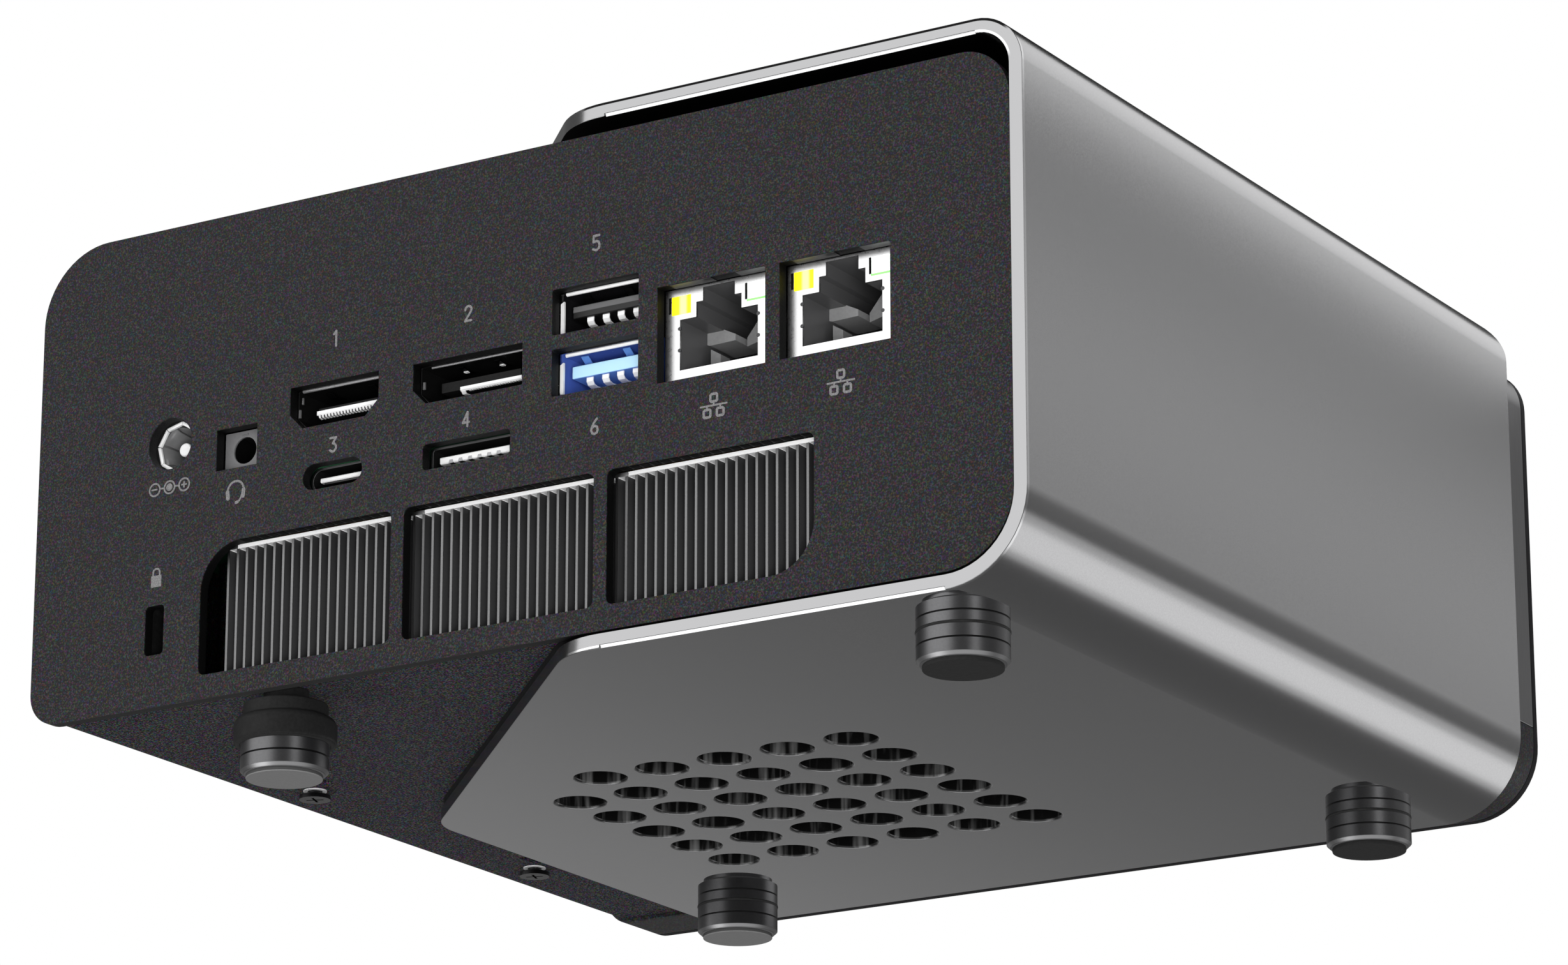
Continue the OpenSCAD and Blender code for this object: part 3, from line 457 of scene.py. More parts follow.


# Feet: turned from aluminium and anodised near black, with three fine grooves, a broken lower
# edge and a thin rubber ring in the middle groove. The grooves carry painted shade and the lower
# edge a painted highlight. The pads are of one dark rubber; those under the free side are painted
# grey as painted light.
def foot_colour(shade):
    """Painted shade in the grooves at three levels, and a painted highlight on the turned edge at the
    bottom.
    """
    height = shade.along("Z")
    wall = shade.cloud(3200.0).blend((0.145, 0.145, 0.149), (0.180, 0.180, 0.184))
    # Painted highlight on the broken lower edge.
    edge = height.band(0.00068, 0.00100).blend(wall, (0.27, 0.27, 0.274))
    painted_groove_shade = height.band(0.0027, 0.0029) + height.band(0.0045, 0.0047) + height.band(0.0061, 0.0063)
    return painted_groove_shade.blend(edge, (0.006, 0.006, 0.006))


def turned_roughness(shade):
    """Fine rings that the turning left."""
    return 0.31 + 0.06 * shade.drawn_out((60.0, 60.0, 16000.0))


foot_metal = finish("near black anodising", foot_colour, turned_roughness, Metallic=1.0)


def pad_colour(shade):
    """One dark rubber, with painted light on the two pads under the free side: grey on their bottom faces
    and dark grey on their sides.
    """
    black = shade.cloud(2400.0, 4.0).blend((0.010, 0.010, 0.010), (0.022, 0.022, 0.022))
    grey = shade.cloud(2400.0, 4.0).blend((0.19, 0.19, 0.19), (0.23, 0.23, 0.23))
    # Painted light on the pads under the free side.
    painted_light_pad = shade.along("Z").step(0.00008, 0.00016).blend(grey, (0.06, 0.06, 0.06))
    return shade.along("X").step(0.0, 0.01).blend(black, painted_light_pad)


pad_rubber = finish("pad rubber", pad_colour, uneven(0.72, 0.15, 1400.0), Specular_IOR_Level=0.25,
                    Normal=relief(5200.0, 0.00003, 0.5, 3.0))
dress(foot_metal, "feet")
nodes["feet"].visible_glossy = False
dress(pad_rubber, "foot_pads")
nodes["foot_pads"].visible_glossy = False
nodes["foot_collar"].visible_glossy = False
soften("foot_pads", 0.00012)


def lathe(profile, centre, axis="Y", start=0, end=360, steps=48):
    """A closed profile of radius and place, turned about a line along an axis."""
    whole = end - start >= 360
    rows = steps if whole else steps + 1
    corners, faces, count = [], [], len(profile)
    for i in range(rows):
        turn = math.radians(start + (end - start) * i / steps)
        for radius, place in profile:
            a, b = centre[0] + radius * math.cos(turn), centre[1] + radius * math.sin(turn)
            corners.append((a, place, b) if axis == "Y" else (a, b, place))
    for i in range(steps):
        here, there = i * count, (i + 1) % rows * count
        for k in range(count):
            m = (k + 1) % count
            faces.append((here + k, here + m, there + m, there + k))
    if not whole:
        faces += [tuple(range(count)), tuple(range(steps * count, (steps + 1) * count))]
    return corners, faces


ring_rubber = finish("black ring rubber", clouded((0.008, 0.008, 0.008), (0.018, 0.018, 0.018), 2400.0),
                     uneven(0.5, 0.15, 1400.0), Specular_IOR_Level=0.25)
foot_places = ((-64.5, 69.4), (38.0, 69.4), (-64.5, -41.6), (38.0, -41.6))
ring_section = disc(5.72, 4.72, 0.2, 10)
for number, place in enumerate(foot_places, 1):
    ring = piece(f"foot_ring_{number}", [lathe(ring_section, place, "Z")], ring_rubber,
                 smooth=60)
    ring.visible_glossy = False


# Screws in the bare strip of the base and on the main board: cross-headed and blackened. The
# ones in the base have thin zinc plated washers.
steel_bright = finish("zinc plated steel", clouded((0.92, 0.92, 0.93), (0.98, 0.98, 0.99), 3600.0, 3.0),
                      uneven(0.22, 0.12, 2400.0), Metallic=0.1, Normal=relief(fine, 0.00001, 0.25))
screw_steel = finish("grey screw steel", clouded((0.30, 0.30, 0.31), (0.48, 0.48, 0.49), fine, 3.0),
                     uneven(0.28, 0.14, 3000.0), Metallic=1.0)
dress(steel_bright, "screw_washers")
screw_black = finish("black screw", clouded((0.05, 0.05, 0.051), (0.10, 0.10, 0.102), fine, 3.0),
                     uneven(0.28, 0.14, 3000.0), Metallic=1.0)
dress(screw_black, "base_screws", "board_screws")


# Cooling outlet: a stack of thin aluminium fins with a folded strip along the top, behind
# three windows. Shade between the fins and a highlight along the strip are painted. Short black
# plates at the top of each window paint the shade of the slots that part the strip from it.
fin_edge = (0.07215, 0.07222)


def fin_colour(shade):
    """Painted shade between the fins, darker towards the top, grey metal on their cut edges, and a painted
    highlight near white along the top.
    """
    y, z = shade.along("Y"), shade.along("Z")
    painted_fin_shade = shade.cloud(3000.0, 3.0).blend((0.043, 0.043, 0.044), (0.060, 0.060, 0.061))
    painted_shade_to_top = z.step(0.0235, 0.0316).blend(painted_fin_shade, (0.036, 0.036, 0.037))
    cut_edge = y.step(*fin_edge).blend(painted_shade_to_top, (0.26, 0.26, 0.262))
    # Painted highlight along the top of the stack.
    return z.step(0.03170, 0.03176).blend(cut_edge, (0.95, 0.95, 0.95))


fin_aluminium = finish("fin aluminium", fin_colour, uneven(0.42, 0.12, 4000.0),
                       Metallic=lambda shade: shade.along("Y").step(*fin_edge))
dress(fin_aluminium, "fin_stack")
# Painted shade: thin black plates stand where slots and gaps lie in shade.
shadow_black = finish("painted shade black", clouded((0.002, 0.002, 0.002), (0.006, 0.006, 0.006), 3000.0),
                      uneven(0.8, 0.1, 2000.0), Specular_IOR_Level=0.1)
first_fin, fin_pitch, slot_width = -47.25, 1.5, 1.12
slots = []
for low, high in ((18.3, 43.2), (-13.2, 15.9), (-46.0, -15.7)):
    count = int((high - low) / fin_pitch)
    start = first_fin + fin_pitch * math.ceil((low - first_fin) / fin_pitch)
    for i in range(count + 1):
        x = start + i * fin_pitch + 0.36
        if low <= x and x + slot_width <= high:
            slots.append(prism(oblong(x, 32.24, x + slot_width, 32.31), 72.9, 74.25))
piece("window_top_shade_plates", slots, shadow_black)
# Painted highlight: the strips along the top of the fins are near white.
strips = [prism(oblong(low, 31.74, high, 32.27), 72.26, 72.36)
          for low, high in ((16.6, 44.4), (-14.8, 14.2), (-47.6, -17.4))]
strip_highlight = finish("strip with painted highlight", clouded((0.94, 0.94, 0.94), (0.99, 0.99, 0.99), fine, 3.0),
                      uneven(0.28, 0.1, 3000.0), Metallic=0.1)
piece("fin_strip", strips, strip_highlight)


# Power inlet: a round jack with a sprung sleeve of bright metal and a centre pin, in a
# moulded black body. The sleeve is slit into fingers that are pressed in at the waist, and its mouth
# is painted near white as a highlight.
socket_black = finish("moulded black", clouded((0.006, 0.006, 0.006), (0.016, 0.016, 0.016), 3200.0),
                      uneven(0.30, 0.14), Specular_IOR_Level=0.4, Normal=relief(3600.0, 0.00001, 0.3))
contact_steel = finish("tinned contact", clouded((0.90, 0.90, 0.90), (0.97, 0.97, 0.97), fine, 3.0),
                       uneven(0.16, 0.10), Metallic=0.1)
dress(socket_black, "dc_jack")
sleeve_steel = finish("sprung sleeve steel", clouded((0.24, 0.24, 0.243), (0.34, 0.34, 0.343), 900.0, 2.0),
                      uneven(0.15, 0.05, 1200.0), Metallic=0.5)
dress(sleeve_steel, "dc_jack_sleeve")
dress(contact_steel, "dc_jack_pin")
soften("dc_jack_pin", 0.0002, 3)
inlet = (54.7, 47.5)
finger = [(3.12, 72.2), (2.66, 71.2), (2.46, 69.0), (2.72, 64.0), (2.92, 64.0), (2.70, 69.0), (2.86, 71.2),
          (3.14, 71.9)]
fingers = [lathe(finger, inlet, "Y", turn + 3, turn + 57, 1) for turn in range(15, 375, 60)]
piece("dc_jack_fingers", fingers, sleeve_steel, smooth=20)
mouth = [(3.10, 72.15), (3.10, 72.5), (3.42, 72.55), (3.58, 72.5), (3.58, 72.15)]
# Painted highlight: the mouth is the sleeve's steel, made near white where it catches the light.
mouth_highlight = finish("mouth with painted highlight", clouded((0.93, 0.93, 0.93), (0.99, 0.99, 0.99), 1800.0, 2.0),
                      uneven(0.18, 0.06), Metallic=0.1)
piece("dc_jack_mouth", [lathe(mouth, inlet, "Y", turn + 1, turn + 44, 1) for turn in range(8, 368, 45)],
      mouth_highlight, smooth=20)


# Headset jacks, one at the rear and one at the front: grey moulded blocks with a round bore
# and a sprung contact at the top of its mouth. All but the face at the mouth is painted black as shade.
def jack_colour(mouth):
    """Painted shade: black all over, the bore too, but for the grey face at the mouth."""
    def colour(shade):
        at_face = shade.along("Y").band(mouth - 0.0002, mouth + 0.0002, 0.0001)
        face = shade.cloud(3000.0).blend((0.13, 0.13, 0.133), (0.17, 0.17, 0.173))
        return at_face.blend((0.003, 0.003, 0.003), face)
    return colour


rear_mouth, front_mouth = 0.0725, -0.0749
dress(finish("grey jack", jack_colour(rear_mouth), uneven(0.42, 0.1)), "headset_jack")
dress(finish("grey front jack", jack_colour(front_mouth), uneven(0.42, 0.1)), "front_headset_jack")


def bent_strip(path, thick, low, high):
    """A sheet strip that follows a path of y and z, and is as wide as low to high along X."""
    above, below = [], []
    for i, (y, z) in enumerate(path):
        before, after = path[max(i - 1, 0)], path[min(i + 1, len(path) - 1)]
        length = math.hypot(after[0] - before[0], after[1] - before[1])
        ny, nz = -(after[1] - before[1]) / length * thick / 2, (after[0] - before[0]) / length * thick / 2
        above.append((y + ny, z + nz))
        below.append((y - ny, z - nz))
    return prism(above + below[::-1], low, high, "X")


for name, x, z, face, inward in (("rear", 43.55, 45.2, 72.5, -1), ("front", 24.0, 45.35, -74.9, 1)):
    path = [(face + reach * inward, z + rise) for reach, rise in
            ((-0.05, 2.25), (0.15, 1.95), (1.2, 1.62), (2.6, 1.45), (4.0, 1.75))]
    piece(f"{name}_headset_contact", [bent_strip(path, 0.16, x - 0.48, x + 0.48)], screw_steel)


# Video and display sockets: folded metal shells, painted black inside as shade, with a contact
# tongue. The edge of each shell shows as a fine grey line, and small springs are cut into its roof.
socket_edge = (0.07242, 0.07247)


def shell_edge_colour(shade):
    """Painted shade: black inside the metal shell, and grey metal along the edge at the mouth."""
    y = shade.along("Y")
    inside = shade.cloud(fine).blend((0.003, 0.003, 0.003), (0.008, 0.008, 0.008))
    return y.step(*socket_edge).blend(inside, (0.38, 0.38, 0.385))


shell_edge = finish("shell with painted inner shade", shell_edge_colour, uneven(0.30, 0.1),
                    Metallic=lambda shade: shade.along("Y").step(*socket_edge))
dress(shell_edge, "video_socket", "display_socket")
tongue_black = finish("black tongue", clouded((0.008, 0.008, 0.008), (0.018, 0.018, 0.018)),
                      uneven(0.34, 0.1), Specular_IOR_Level=0.08)
dress(tongue_black, "video_tongues")
# Painted highlight: the noses of the type C and expansion tongues are near white.
nose_highlight = finish("nose moulding with painted highlight", clouded((0.90, 0.90, 0.90), (0.97, 0.97, 0.97)),
                      uneven(0.32, 0.1))
comb = [bent_strip([(71.30, 48.52), (71.38, 48.62), (71.38, 49.05)], 0.14, 22.75, 32.65)]
for i in range(19):
    x = 23.05 + 0.505 * i
    comb.append(bent_strip([(71.35, 48.5), (71.2, 48.2), (70.7, 48.12)], 0.14, x, x + 0.27))
piece("video_contacts", comb, contact_steel)
display_bar = [bent_strip([(71.25, 47.96), (71.4, 48.12), (71.4, 48.48)], 0.16, -0.1, 9.55),
               bent_strip([(71.3, 47.92), (71.0, 47.62), (70.0, 47.62)], 0.14, 8.85, 9.45)]
for i in range(20):
    x = 0.3 + 0.42 * i
    display_bar.append(bent_strip([(71.0, 47.98), (70.7, 48.0)], 0.1, x, x + 0.22))
piece("display_contacts", display_bar, contact_steel)


def lip(y, z, low, high, radius):
    """A rolled edge that runs along X, round towards the rear and below."""
    return prism(disc(y, z, radius, 12), low, high, "X")


lip_steel = finish("rolled lip", clouded((0.34, 0.34, 0.345), (0.50, 0.50, 0.505), fine, 3.0),
                   uneven(0.24, 0.1), Metallic=0.7)
piece("video_lip", [lip(72.4, 51.76, 21.9, 34.2, 0.24)], lip_steel, smooth=50)
piece("display_lip", [lip(72.4, 51.48, -1.5, 13.4, 0.16)], lip_steel, smooth=50)
bar_run = (72.3, 72.52)
side_bars = [prism(oblong(34.15, 50.0, 34.33, 50.9), *bar_run),
             prism(oblong(34.55, 48.2, 34.85, 49.3), *bar_run)]
piece("video_side_bars", side_bars, lip_steel)
piece("display_side_bar", [prism(oblong(14.45, 48.7, 14.75, 49.7), *bar_run)], lip_steel)


def roof_springs(name, places, roof, mouth, drop, material, half=0.55):
    """Small leaf springs cut from the roof of a socket and bent down into it."""
    leaves = [bent_strip([(mouth - 1.6, roof), (mouth - 2.6, roof - drop), (mouth - 3.4, roof - drop),
                          (mouth - 4.6, roof - 0.05)], 0.12, x - half, x + half) for x in places]
    piece(name, leaves, material)


dark_steel = finish("dull dark steel", clouded((0.07, 0.07, 0.072), (0.13, 0.13, 0.132)),
                    uneven(0.4, 0.1), Metallic=1.0)
roof_springs("video_springs", (31.1, 24.3), 51.45, 72.5, 0.35, dark_steel)
display_spring_places = (9.9, 4.2)
roof_springs("display_springs", display_spring_places, 51.42, 72.5, 0.2, dark_steel, 0.4)
tips = [prism(oblong(x - 0.3, 51.02, x + 0.3, 51.16), 69.3, 69.8) for x in display_spring_places]
piece("display_spring_tips", tips, contact_steel)


# Type C and expansion sockets: seamless drawn shells round a flat tongue. The noses of the
# tongues are painted white as a highlight, and the tongue of the expansion socket is cut into by six
# contact wells.
def thin_edge(mouth_low, mouth_high):
    """Painted shade: black inside the shell, and grey metal on the thin edge at the mouth."""
    def colour(shade):
        y = shade.along("Y")
        inside = shade.cloud(fine).blend((0.004, 0.004, 0.004), (0.012, 0.012, 0.012))
        return y.band(mouth_low, mouth_high).blend(inside, (0.42, 0.42, 0.425))
    return colour


rear_drawn = finish("drawn shell", thin_edge(0.07244, 0.0730), uneven(0.26, 0.1),
                    Metallic=lambda shade: shade.along("Y").step(*socket_edge))
front_drawn = finish("front drawn shell", thin_edge(-0.0755, -0.07484), uneven(0.26, 0.1),
                     Metallic=lambda shade: 1 - shade.along("Y").step(-0.07488, -0.07484))
dress(rear_drawn, "type_c_socket", "expansion_socket")
dress(front_drawn, "front_type_c")


def tongue_nose(name, low, high, z, y_tip, thick, material):
    """The moulded front edge of a contact tongue."""
    outline = [(y_tip - 1.2, z - thick / 2), (y_tip - 0.12, z - thick / 2), (y_tip, z - thick / 2 + 0.12),
               (y_tip, z + thick / 2 - 0.12), (y_tip - 0.12, z + thick / 2), (y_tip - 1.2, z + thick / 2)]
    piece(name, [prism(outline, low, high, "X")], material)


tongue_nose("type_c_nose", 24.9, 31.4, 39.12, 71.95, 0.62, nose_highlight)
wells = []
for i in range(6):
    x = 2.6 + 1.5 * i
    wells.append(prism([(x, 38.16), (x + 0.75, 38.16), (x + 0.62, 38.62), (x + 0.12, 38.62)], 71.2, 71.98))
tongue_nose("expansion_nose", 1.3, 12.2, 38.65, 71.95, 0.96, nose_highlight)
piece("expansion_wells", wells, screw_steel)
tongue_nose("expansion_rib", 8.7, 10.6, 39.3, 71.1, 0.34, screw_steel)


# Type A sockets: two stacked in one folded shell at the rear, two single ones at the front.
# Each has a flat tongue with four sprung contacts under it; the lower rear one is blue.
type_a_edge, front_a_edge = (0.07205, 0.07215), (-0.07478, -0.07470)


def type_a_colour(shade):
    """Blue inside the lower socket, painted shade black inside the upper one, and bright at the mouth."""
    inside = shade.along("Z").step(0.05065, 0.05075).blend((0.080, 0.15, 0.52), (0.010, 0.010, 0.011))
    return shade.along("Y").step(*type_a_edge).blend(inside, (0.93, 0.93, 0.93))


def black_tongue_colour(shade):
    """Black, with a painted highlight: a grey band along the upper part of its tip."""
    band = shade.along("Y").step(0.07100, 0.07108) * shade.along("Z").step(0.05552, 0.05558)
    return band.blend((0.006, 0.006, 0.006), (0.12, 0.12, 0.122))


def blue_tongue_colour(shade):
    """Blue, with a painted highlight: paler at its tip."""
    return shade.along("Y").step(0.07118, 0.07126).blend((0.14, 0.30, 0.80), (0.50, 0.80, 1.0))


dress(finish("type a shell", type_a_colour, uneven(0.2, 0.1),
             Metallic=lambda shade: shade.along("Y").step(*type_a_edge)), "type_a_shell")
dress(finish("black contact tongue", black_tongue_colour, uneven(0.36, 0.12)), "type_a_tongue_upper")
dress(finish("blue contact tongue", blue_tongue_colour, uneven(0.34, 0.1)), "type_a_tongue_lower")
soften("type_a_tongue_upper", 0.00018)
soften("type_a_tongue_lower", 0.00018)


def under_contacts(name, places, tip, under, inward):
    """Curved leaf contacts that hang under a tongue."""
    leaves = []
    for x in places:
        path = [(tip + inward * reach, under - fall) for reach, fall in (
            (0.45, 0.02), (0.42, 0.55), (0.75, 0.95), (1.4, 1.12), (2.6, 1.0), (4.2, 0.5), (5.4, 0.02))]
        leaves.append(bent_strip(path, 0.16, x - 0.5, x + 0.5))
    piece(name, leaves, contact_steel, smooth=30)


contact_places = (-10.4, -12.8, -15.1, -17.5)
under_contacts("upper_type_a_contacts", contact_places, 71.3, 54.7, -1)
under_contacts("lower_type_a_contacts", contact_places, 71.3, 46.55, -1)
blue_spring = finish("blue shade spring", clouded((0.10, 0.26, 0.66), (0.16, 0.34, 0.74)),
                     uneven(0.3, 0.1))
roof_springs("upper_type_a_springs", (-9.6, -16.0), 57.75, 72.3, 0.7, dark_steel)
roof_springs("lower_type_a_springs", (-9.4, -15.8), 49.60, 72.3, 0.7, blue_spring)
# The lips carry the same painted highlight as the mouth of the power inlet.
for level, roof, foot in (("upper", 57.76, 52.4), ("lower", 49.46, 44.3)):
    side = [(-7.36, foot), (-6.95, foot), (-6.85, foot + 0.2), (-6.85, roof - 1.2), (-7.36, roof - 0.9)]
    piece(f"{level}_type_a_lips", [lip(72.38, roof, -19.6, -7.7, 0.26), prism(side, 72.2, 72.55)],
          mouth_highlight, smooth=50)


def front_a_colour(shade):
    """Bright at the mouth, and painted shade black inside."""
    return shade.along("Y").step(*front_a_edge).blend((0.85, 0.85, 0.85), (0.010, 0.010, 0.011))


dress(finish("front type a shell", front_a_colour, uneven(0.22, 0.1),
             Metallic=lambda shade: 1 - shade.along("Y").step(*front_a_edge)), "front_type_a")
dress(finish("front tongue", clouded((0.030, 0.10, 0.40), (0.05, 0.16, 0.52)),
             uneven(0.34, 0.1)), "front_type_a_tongues")
for number, x in enumerate((-46.0, -27.0), 1):
    places = [x + step for step in (-3.55, -1.2, 1.2, 3.55)]
    under_contacts(f"front_type_a_contacts_{number}", places, -74.0, 46.25, 1)


# Network jacks: bright folded shields with a stepped opening for the plug, grey inserts, and
# two lights in the upper corners, one yellow and one pale with a green lower edge.
def insert_colour(shade):
    """Lighter towards the mouth, where the light falls in."""
    near = shade.along("Y").step(0.060, 0.0722)
    return near.blend((0.055, 0.055, 0.056), (0.11, 0.11, 0.112))


shield_steel = finish("tin plated shield", clouded((0.88, 0.88, 0.88), (0.97, 0.97, 0.97), fine, 3.0),
                      uneven(0.24, 0.1), Metallic=1.0)
dress(shield_steel, "network_jack_shells")
dress(finish("grey insert", insert_colour, uneven(0.3, 0.1), Metallic=0.15), "network_jack_inserts")
guide_grey = finish("grey guide", clouded((0.27, 0.27, 0.272), (0.36, 0.36, 0.362), 2200.0),
                    uneven(0.3, 0.1), Metallic=0.2)


def light_colour(shade):
    """Yellow on one side of each jack, and pale with a green lower edge on the other."""
    x, z = shade.along("X"), shade.along("Z")
    yellow = x.band(-0.0275, -0.0235, 0.0002) + x.band(-0.0460, -0.0420, 0.0002)
    pale = z.step(0.05215, 0.05230).blend((0.25, 0.95, 0.18), (0.95, 1.0, 0.95))
    middle = x.band(-0.0258, -0.0253, 0.0005) + x.band(-0.0441, -0.0436, 0.0005)
    warm = middle.blend((1.0, 0.86, 0.0), (1.0, 1.0, 0.30))
    return yellow.blend(pale, warm)


dress(finish("status light lens", light_colour, uneven(0.28, 0.1), Emission_Color=light_colour,
             Emission_Strength=0.55), "status_lights")

# Guides moulded in the opening: a sloping carrier at the back, a block beside it and two small
# ribs that lead the plug's latch. Each is an outline of x and z, and the y of its two ends.
carrier = [(-39.9, 51.9), (-45.0, 51.8), (-47.7, 50.45), (-47.7, 49.6), (-43.9, 49.5), (-39.9, 50.8)]
rib = [(-41.0, 50.4), (-42.35, 50.4), (-42.35, 48.4), (-41.0, 48.7)]
latch = [(-44.1, 48.9), (-45.6, 48.0), (-45.6, 46.6), (-44.1, 46.8)]
rear_block = [(-47.9, 49.4), (-54.6, 51.0), (-54.6, 53.2), (-50.0, 53.2), (-47.9, 50.6)]
guide_forms = ((carrier, 60.0, 66.0), (rib, 64.4, 66.3), (latch, 64.0, 66.2), (rear_block, 58.0, 63.5))
for number, shift in enumerate((18.3, 0.0), 1):
    guides = [prism([(x + shift, z) for x, z in outline], low, high) for outline, low, high in guide_forms]
    piece(f"network_guides_{number}", guides, guide_grey)
    tabs = [prism(oblong(low + shift, 55.33, high + shift, 55.41), 72.82, 74.3)
            for low, high in ((-49.2, -43.0), (-57.2, -52.9))]
    # Painted shade: black plates in the two gaps of each opening.
    gaps = [prism(oblong(low + shift, 52.2, high + shift, 54.35), 72.48, 72.56)
            for low, high in ((-42.12, -41.8), (-53.55, -53.25))]
    piece(f"network_shade_plates_{number}", gaps, shadow_black)
    piece(f"network_tabs_{number}", tabs, dark_steel)
    nicks = [lathe(oblong(0.02, 72.42, 0.26, 72.53), (x + shift, z), "Y", steps=12)
             for x in (-43.4, -55.2) for z in (47.1, 50.0)]
    piece(f"network_nicks_{number}", nicks, dark_steel)


# Lock slot: a folded steel bracket behind a tall slot in the panel, blackened.
dress(finish("blackened bracket", clouded((0.004, 0.004, 0.004), (0.012, 0.012, 0.012), 1800.0),
             uneven(0.45, 0.2, 1400.0), Specular_IOR_Level=0.3), "lock_bracket")


# Main board and the modules on it: a green laminate with fine tracks under the mask, memory in
# its sockets, a flat drive, a radio card and the clock's cell.
def board_colour(shade):
    """Tracks under the mask, with plain areas between them."""
    tracks = shade.make("ShaderNodeTexBrick", {"offset": 0.37}, {
        "Vector": shade.place, "Scale": 420.0, "Mortar Size": 0.05, "Color1": (0.010, 0.075, 0.032, 1.0),
        "Color2": (0.014, 0.095, 0.042, 1.0), "Mortar": (0.035, 0.16, 0.07, 1.0)}, "Color")
    return shade.cloud(120.0, 3.0).step(0.4, 0.6).blend(tracks, (0.008, 0.060, 0.026))


board_green = finish("green board", board_colour, uneven(0.34, 0.12, 900.0),
                     Normal=relief(1500.0, 0.00003, 0.3))
chip_black = finish("chip moulding", clouded((0.012, 0.012, 0.013), (0.035, 0.035, 0.036), 1800.0, 4.0),
                    uneven(0.42, 0.18, 1200.0), Normal=relief(fine, 0.00002, 0.4, 3.0))
dress(board_green, "main_board", "memory_modules", "button_board")
dress(chip_black, "processor", "memory_sockets", "drive_module", "radio_card")


def turned(shade, shift, axis, scale, distortion):
    """Rings of a turned face. The shift brings the middle of the face to the origin."""
    moved = shade.make("ShaderNodeMapping", None, {"Vector": shade.place, "Location": shift})
    return shade.make("ShaderNodeTexWave", {"wave_type": "RINGS", "rings_direction": axis},
                      {"Vector": moved, "Scale": scale, "Distortion": distortion}, "Fac")


def cell_rings(shade):
    """Rings about the middle of the cell."""
    return turned(shade, (0.054, -0.0084, 0.0), "Z", 900.0, 1.5)


dress(finish("cell steel", lambda shade: cell_rings(shade).blend((0.50, 0.50, 0.49), (0.66, 0.66, 0.65)),
             lambda shade: 0.22 + 0.14 * cell_rings(shade), Metallic=1.0), "coin_cell")


# Cooler: a copper plate on the processor, flattened pipes that run to the fins, and a blower
# with a moulded volute, a small motor and a wheel of thin glossy blades, painted light grey as glints.
copper = finish("drawn copper", clouded((0.60, 0.24, 0.13), (0.78, 0.36, 0.22), 700.0, 4.0),
                uneven(0.24, 0.16, 1300.0), Metallic=1.0, Normal=relief(fine, 0.00002, 0.25))
dress(copper, "cold_plate", "heat_pipes")
fan_plastic = finish("black fan plastic", clouded((0.010, 0.010, 0.010), (0.024, 0.024, 0.024), 1600.0),
                     uneven(0.30, 0.14), Specular_IOR_Level=0.5, Normal=relief(fine, 0.00001, 0.3))
# Painted glints: the blades are light grey so that they show through the intake holes; their gloss is real.
blade_glint_plastic = finish("blade plastic with painted glints", clouded((0.12, 0.12, 0.122), (0.22, 0.22, 0.222), 900.0),
                       uneven(0.16, 0.1, 1600.0), Specular_IOR_Level=0.8)
dress(fan_plastic, "blower_housing")
dress(blade_glint_plastic, "blower_impeller")
dress(screw_steel, "blower_motor")


# Power button: a round satin cap that moves in a hole of the bezel and presses a switch on a
# small upright board behind it.
def cap_rings(shade):
    """Rings about the middle of the button."""
    return turned(shade, (-0.054, 0.0, -0.06145), "Y", 1400.0, 0.8)


button_grey = finish("turned button",
                     lambda shade: cap_rings(shade).blend((0.16, 0.16, 0.163), (0.24, 0.24, 0.245)),
                     lambda shade: 0.24 + 0.1 * cap_rings(shade), Metallic=1.0,
                     Normal=lambda shade: shade.bump(cap_rings(shade), 0.00001, 0.2))
dress(button_grey, "power_button")
soften("power_button", 0.0004, 3)


# Studio: a pale floor at the level of the pads, which shows from above only, because the view
# stands below it. Soft boxes lie along the object, where its bent metal mirrors them.
floor_half = 3.0
floor_mesh = bpy.data.meshes.new("floor")
floor_corners = [(x, y, 0) for x, y in oblong(-floor_half, -floor_half, floor_half, floor_half)]
floor_mesh.from_pydata(floor_corners, [], [(0, 1, 2, 3)])
floor = bpy.data.objects.new("floor", floor_mesh)
floor.location = (0, 0, -0.00002)
floor.visible_shadow = False
floor.visible_glossy = False
floor.visible_diffuse = False
bpy.context.scene.collection.objects.link(floor)
floor_pale = finish("pale floor", (0.86, 0.86, 0.86), 0.9, Specular_IOR_Level=0.1,
                    Emission_Color=(1.0, 1.0, 1.0, 1.0), Emission_Strength=0.6)
under = Shade(floor_pale.node_tree)
from_below = under.make("ShaderNodeNewGeometry", out="Backfacing")
floor_surface = Shade(under.tree, under.tree.nodes["Principled BSDF"].outputs[0])
see_through = under.make("ShaderNodeBsdfTransparent")
seen_floor = under.make("ShaderNodeMixShader", None, {0: from_below, 1: floor_surface, 2: see_through})
under.put(under.tree.nodes["Material Output"].inputs["Surface"], seen_floor)
floor_mesh.materials.append(floor_pale)

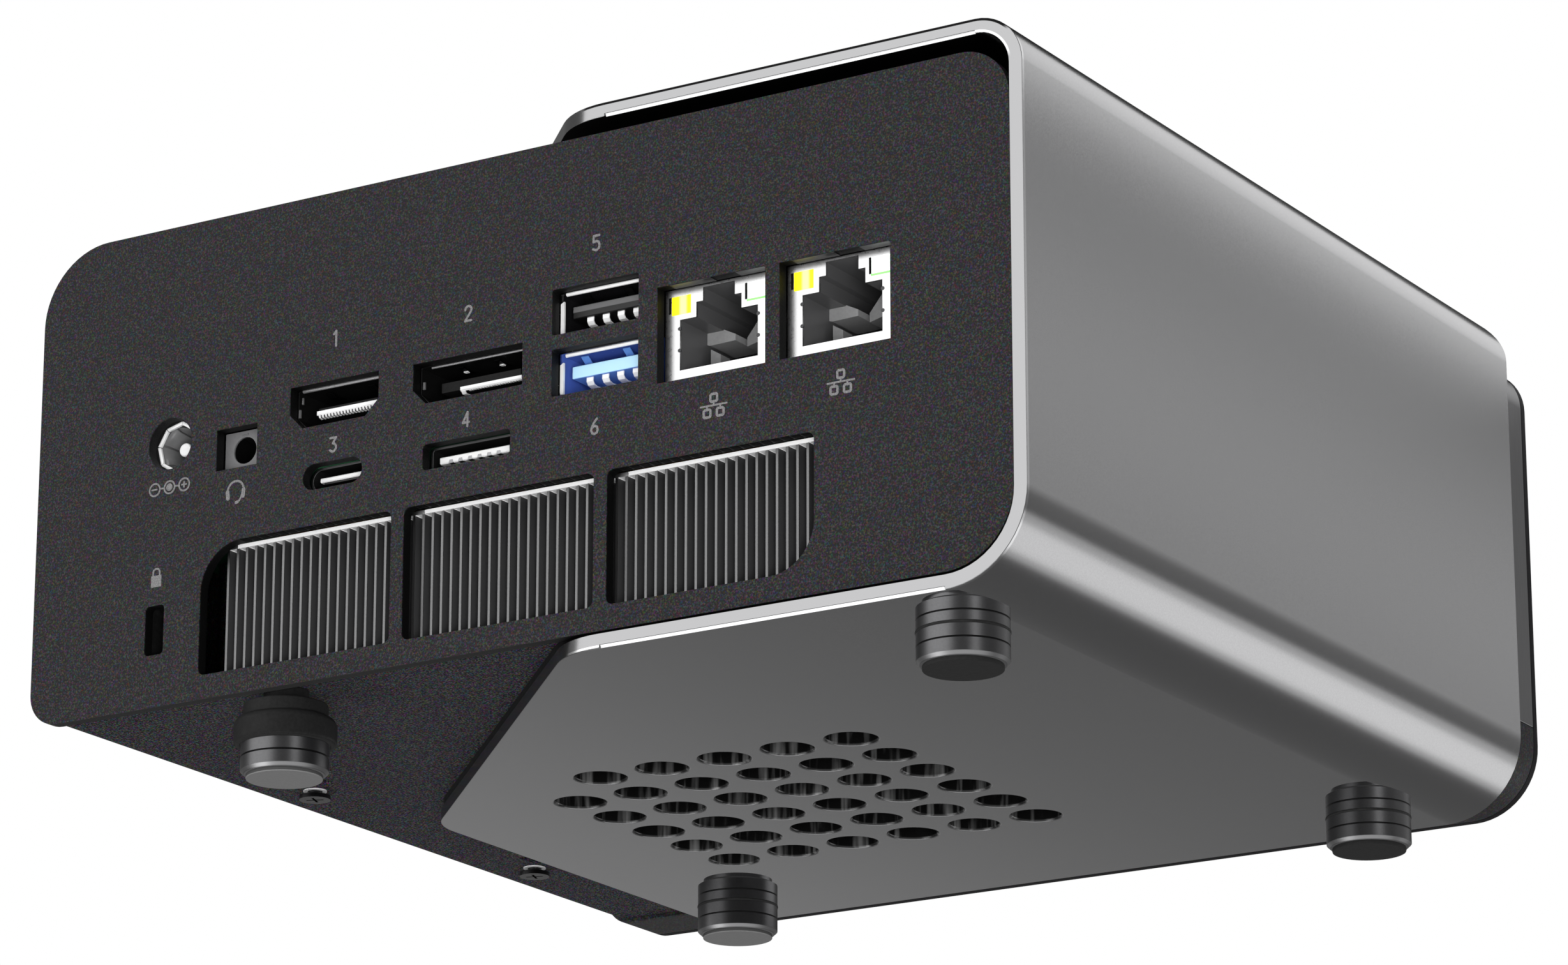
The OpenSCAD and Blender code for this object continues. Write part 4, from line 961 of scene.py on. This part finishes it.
# The room is white where the view or a clear surface looks into it, and below. What metal
# mirrors of it is dim, and black round one direction, which draws the shell's upper edge.
room_level, dark_way = 0.17, (0.27, -0.84, 0.47)
world = bpy.data.worlds.new("studio")
bpy.context.scene.world = world
world.use_nodes = True
sky = Shade(world.node_tree)
rays = world.node_tree.nodes.new("ShaderNodeLightPath")
in_view = Shade(world.node_tree, rays.outputs["Is Camera Ray"])
mirrored = Shade(world.node_tree, rays.outputs["Is Glossy Ray"])
through = Shade(world.node_tree, rays.outputs["Is Transmission Ray"])
direction = sky.make("ShaderNodeTexCoord", out="Generated")
down = 0 - sky.make("ShaderNodeSeparateXYZ", None, {"Vector": direction}, "Z")
behind = sky.make("ShaderNodeVectorMath", {"operation": "DOT_PRODUCT"},
                  {0: direction, 1: dark_way}, "Value")
white_part = in_view.larger(through).larger(mirrored * down.step(0.7, 0.9))
dim_room = room_level * (1 - mirrored * behind.step(0.905, 0.945))
background = world.node_tree.nodes["Background"]
background.inputs["Color"].default_value = (1.0, 1.0, 1.0, 1.0)
sky.put(background.inputs["Strength"], white_part.larger(dim_room))


def soft_box(name, place, facing, size, level):
    """A soft box turned to face a point. A mirror shows it white at level 1."""
    data = bpy.data.lights.new(name, "AREA")
    data.shape = "RECTANGLE"
    data.size, data.size_y = size
    data.energy = math.pi * size[0] * size[1] * level
    holder = bpy.data.objects.new(name, data)
    holder.location = place
    way = (Vector(place) - Vector(facing)).normalized()
    across = Vector((0.0, 1.0, 0.0)).cross(way).normalized()
    holder.rotation_euler = Matrix((across, way.cross(across), way)).transposed().to_euler()
    holder.visible_camera = False
    bpy.context.scene.collection.objects.link(holder)
    return holder


def long_box(name, start, end, around, level, run):
    """A long soft box that lies along the object. Its two edges are given as x and z, and run
    as the y of its ends."""
    x, z = (start[0] + end[0]) / 2, (start[1] + end[1]) / 2
    y = (run[0] + run[1]) / 2
    width = math.hypot(end[0] - start[0], end[1] - start[1])
    soft_box(name, (x, y, z), (around[0], y, around[1]), (width, run[1] - run[0]), level)


side_middle, low_bend = (-0.077, 0.045), (-0.074, 0.014)
side_run, lower_run = (-0.95, -0.10), (-1.7, -0.45)
long_box("high side box", (-0.3155, 0.246), (-0.325, 0.222), side_middle, 0.50, side_run)
long_box("side box", (-0.325, 0.222), (-0.337, 0.188), side_middle, 0.74, side_run)
long_box("low side box", (-0.338, 0.185), (-0.349, 0.142), side_middle, 0.43, side_run)
long_box("low fill", (-0.352, 0.138), (-0.377, 0.045), (-0.074, 0.020), 0.10, side_run)
long_box("edge box", (-0.1165, 0.1030), (-0.0722, 0.1285), (-0.077, 0.078), 1.3, (-0.17, 0.03))
long_box("lower box", (-0.675, -0.017), (-0.358, -0.514), low_bend, 0.85, lower_run)
long_box("lower strip", (-0.653, -0.152), (-0.437, -0.464), low_bend, 0.81, lower_run)
long_box("under box", (0.470, -0.209), (0.523, -0.101), (0.020, 0.010), 0.31, (-1.3, -0.3))
soft_box("rear box", (0.75, 1.25, 0.50), (0.0, 0.0, 0.045), (1.8, 1.8), 1.2)
soft_box("low box", (0.60, 0.33, -0.86), (0.0, 0.05, 0.01), (0.5, 0.5), 2.6)
soft_box("left box", (-0.95, 0.58, 0.40), (0.0, 0.05, 0.045), (0.35, 0.35), 1.8)
view_box = soft_box("view box", (-0.62, 1.00, -0.36), (0.0, 0.05, 0.045), (0.6, 0.6), 12.0)
view_box.visible_glossy = False
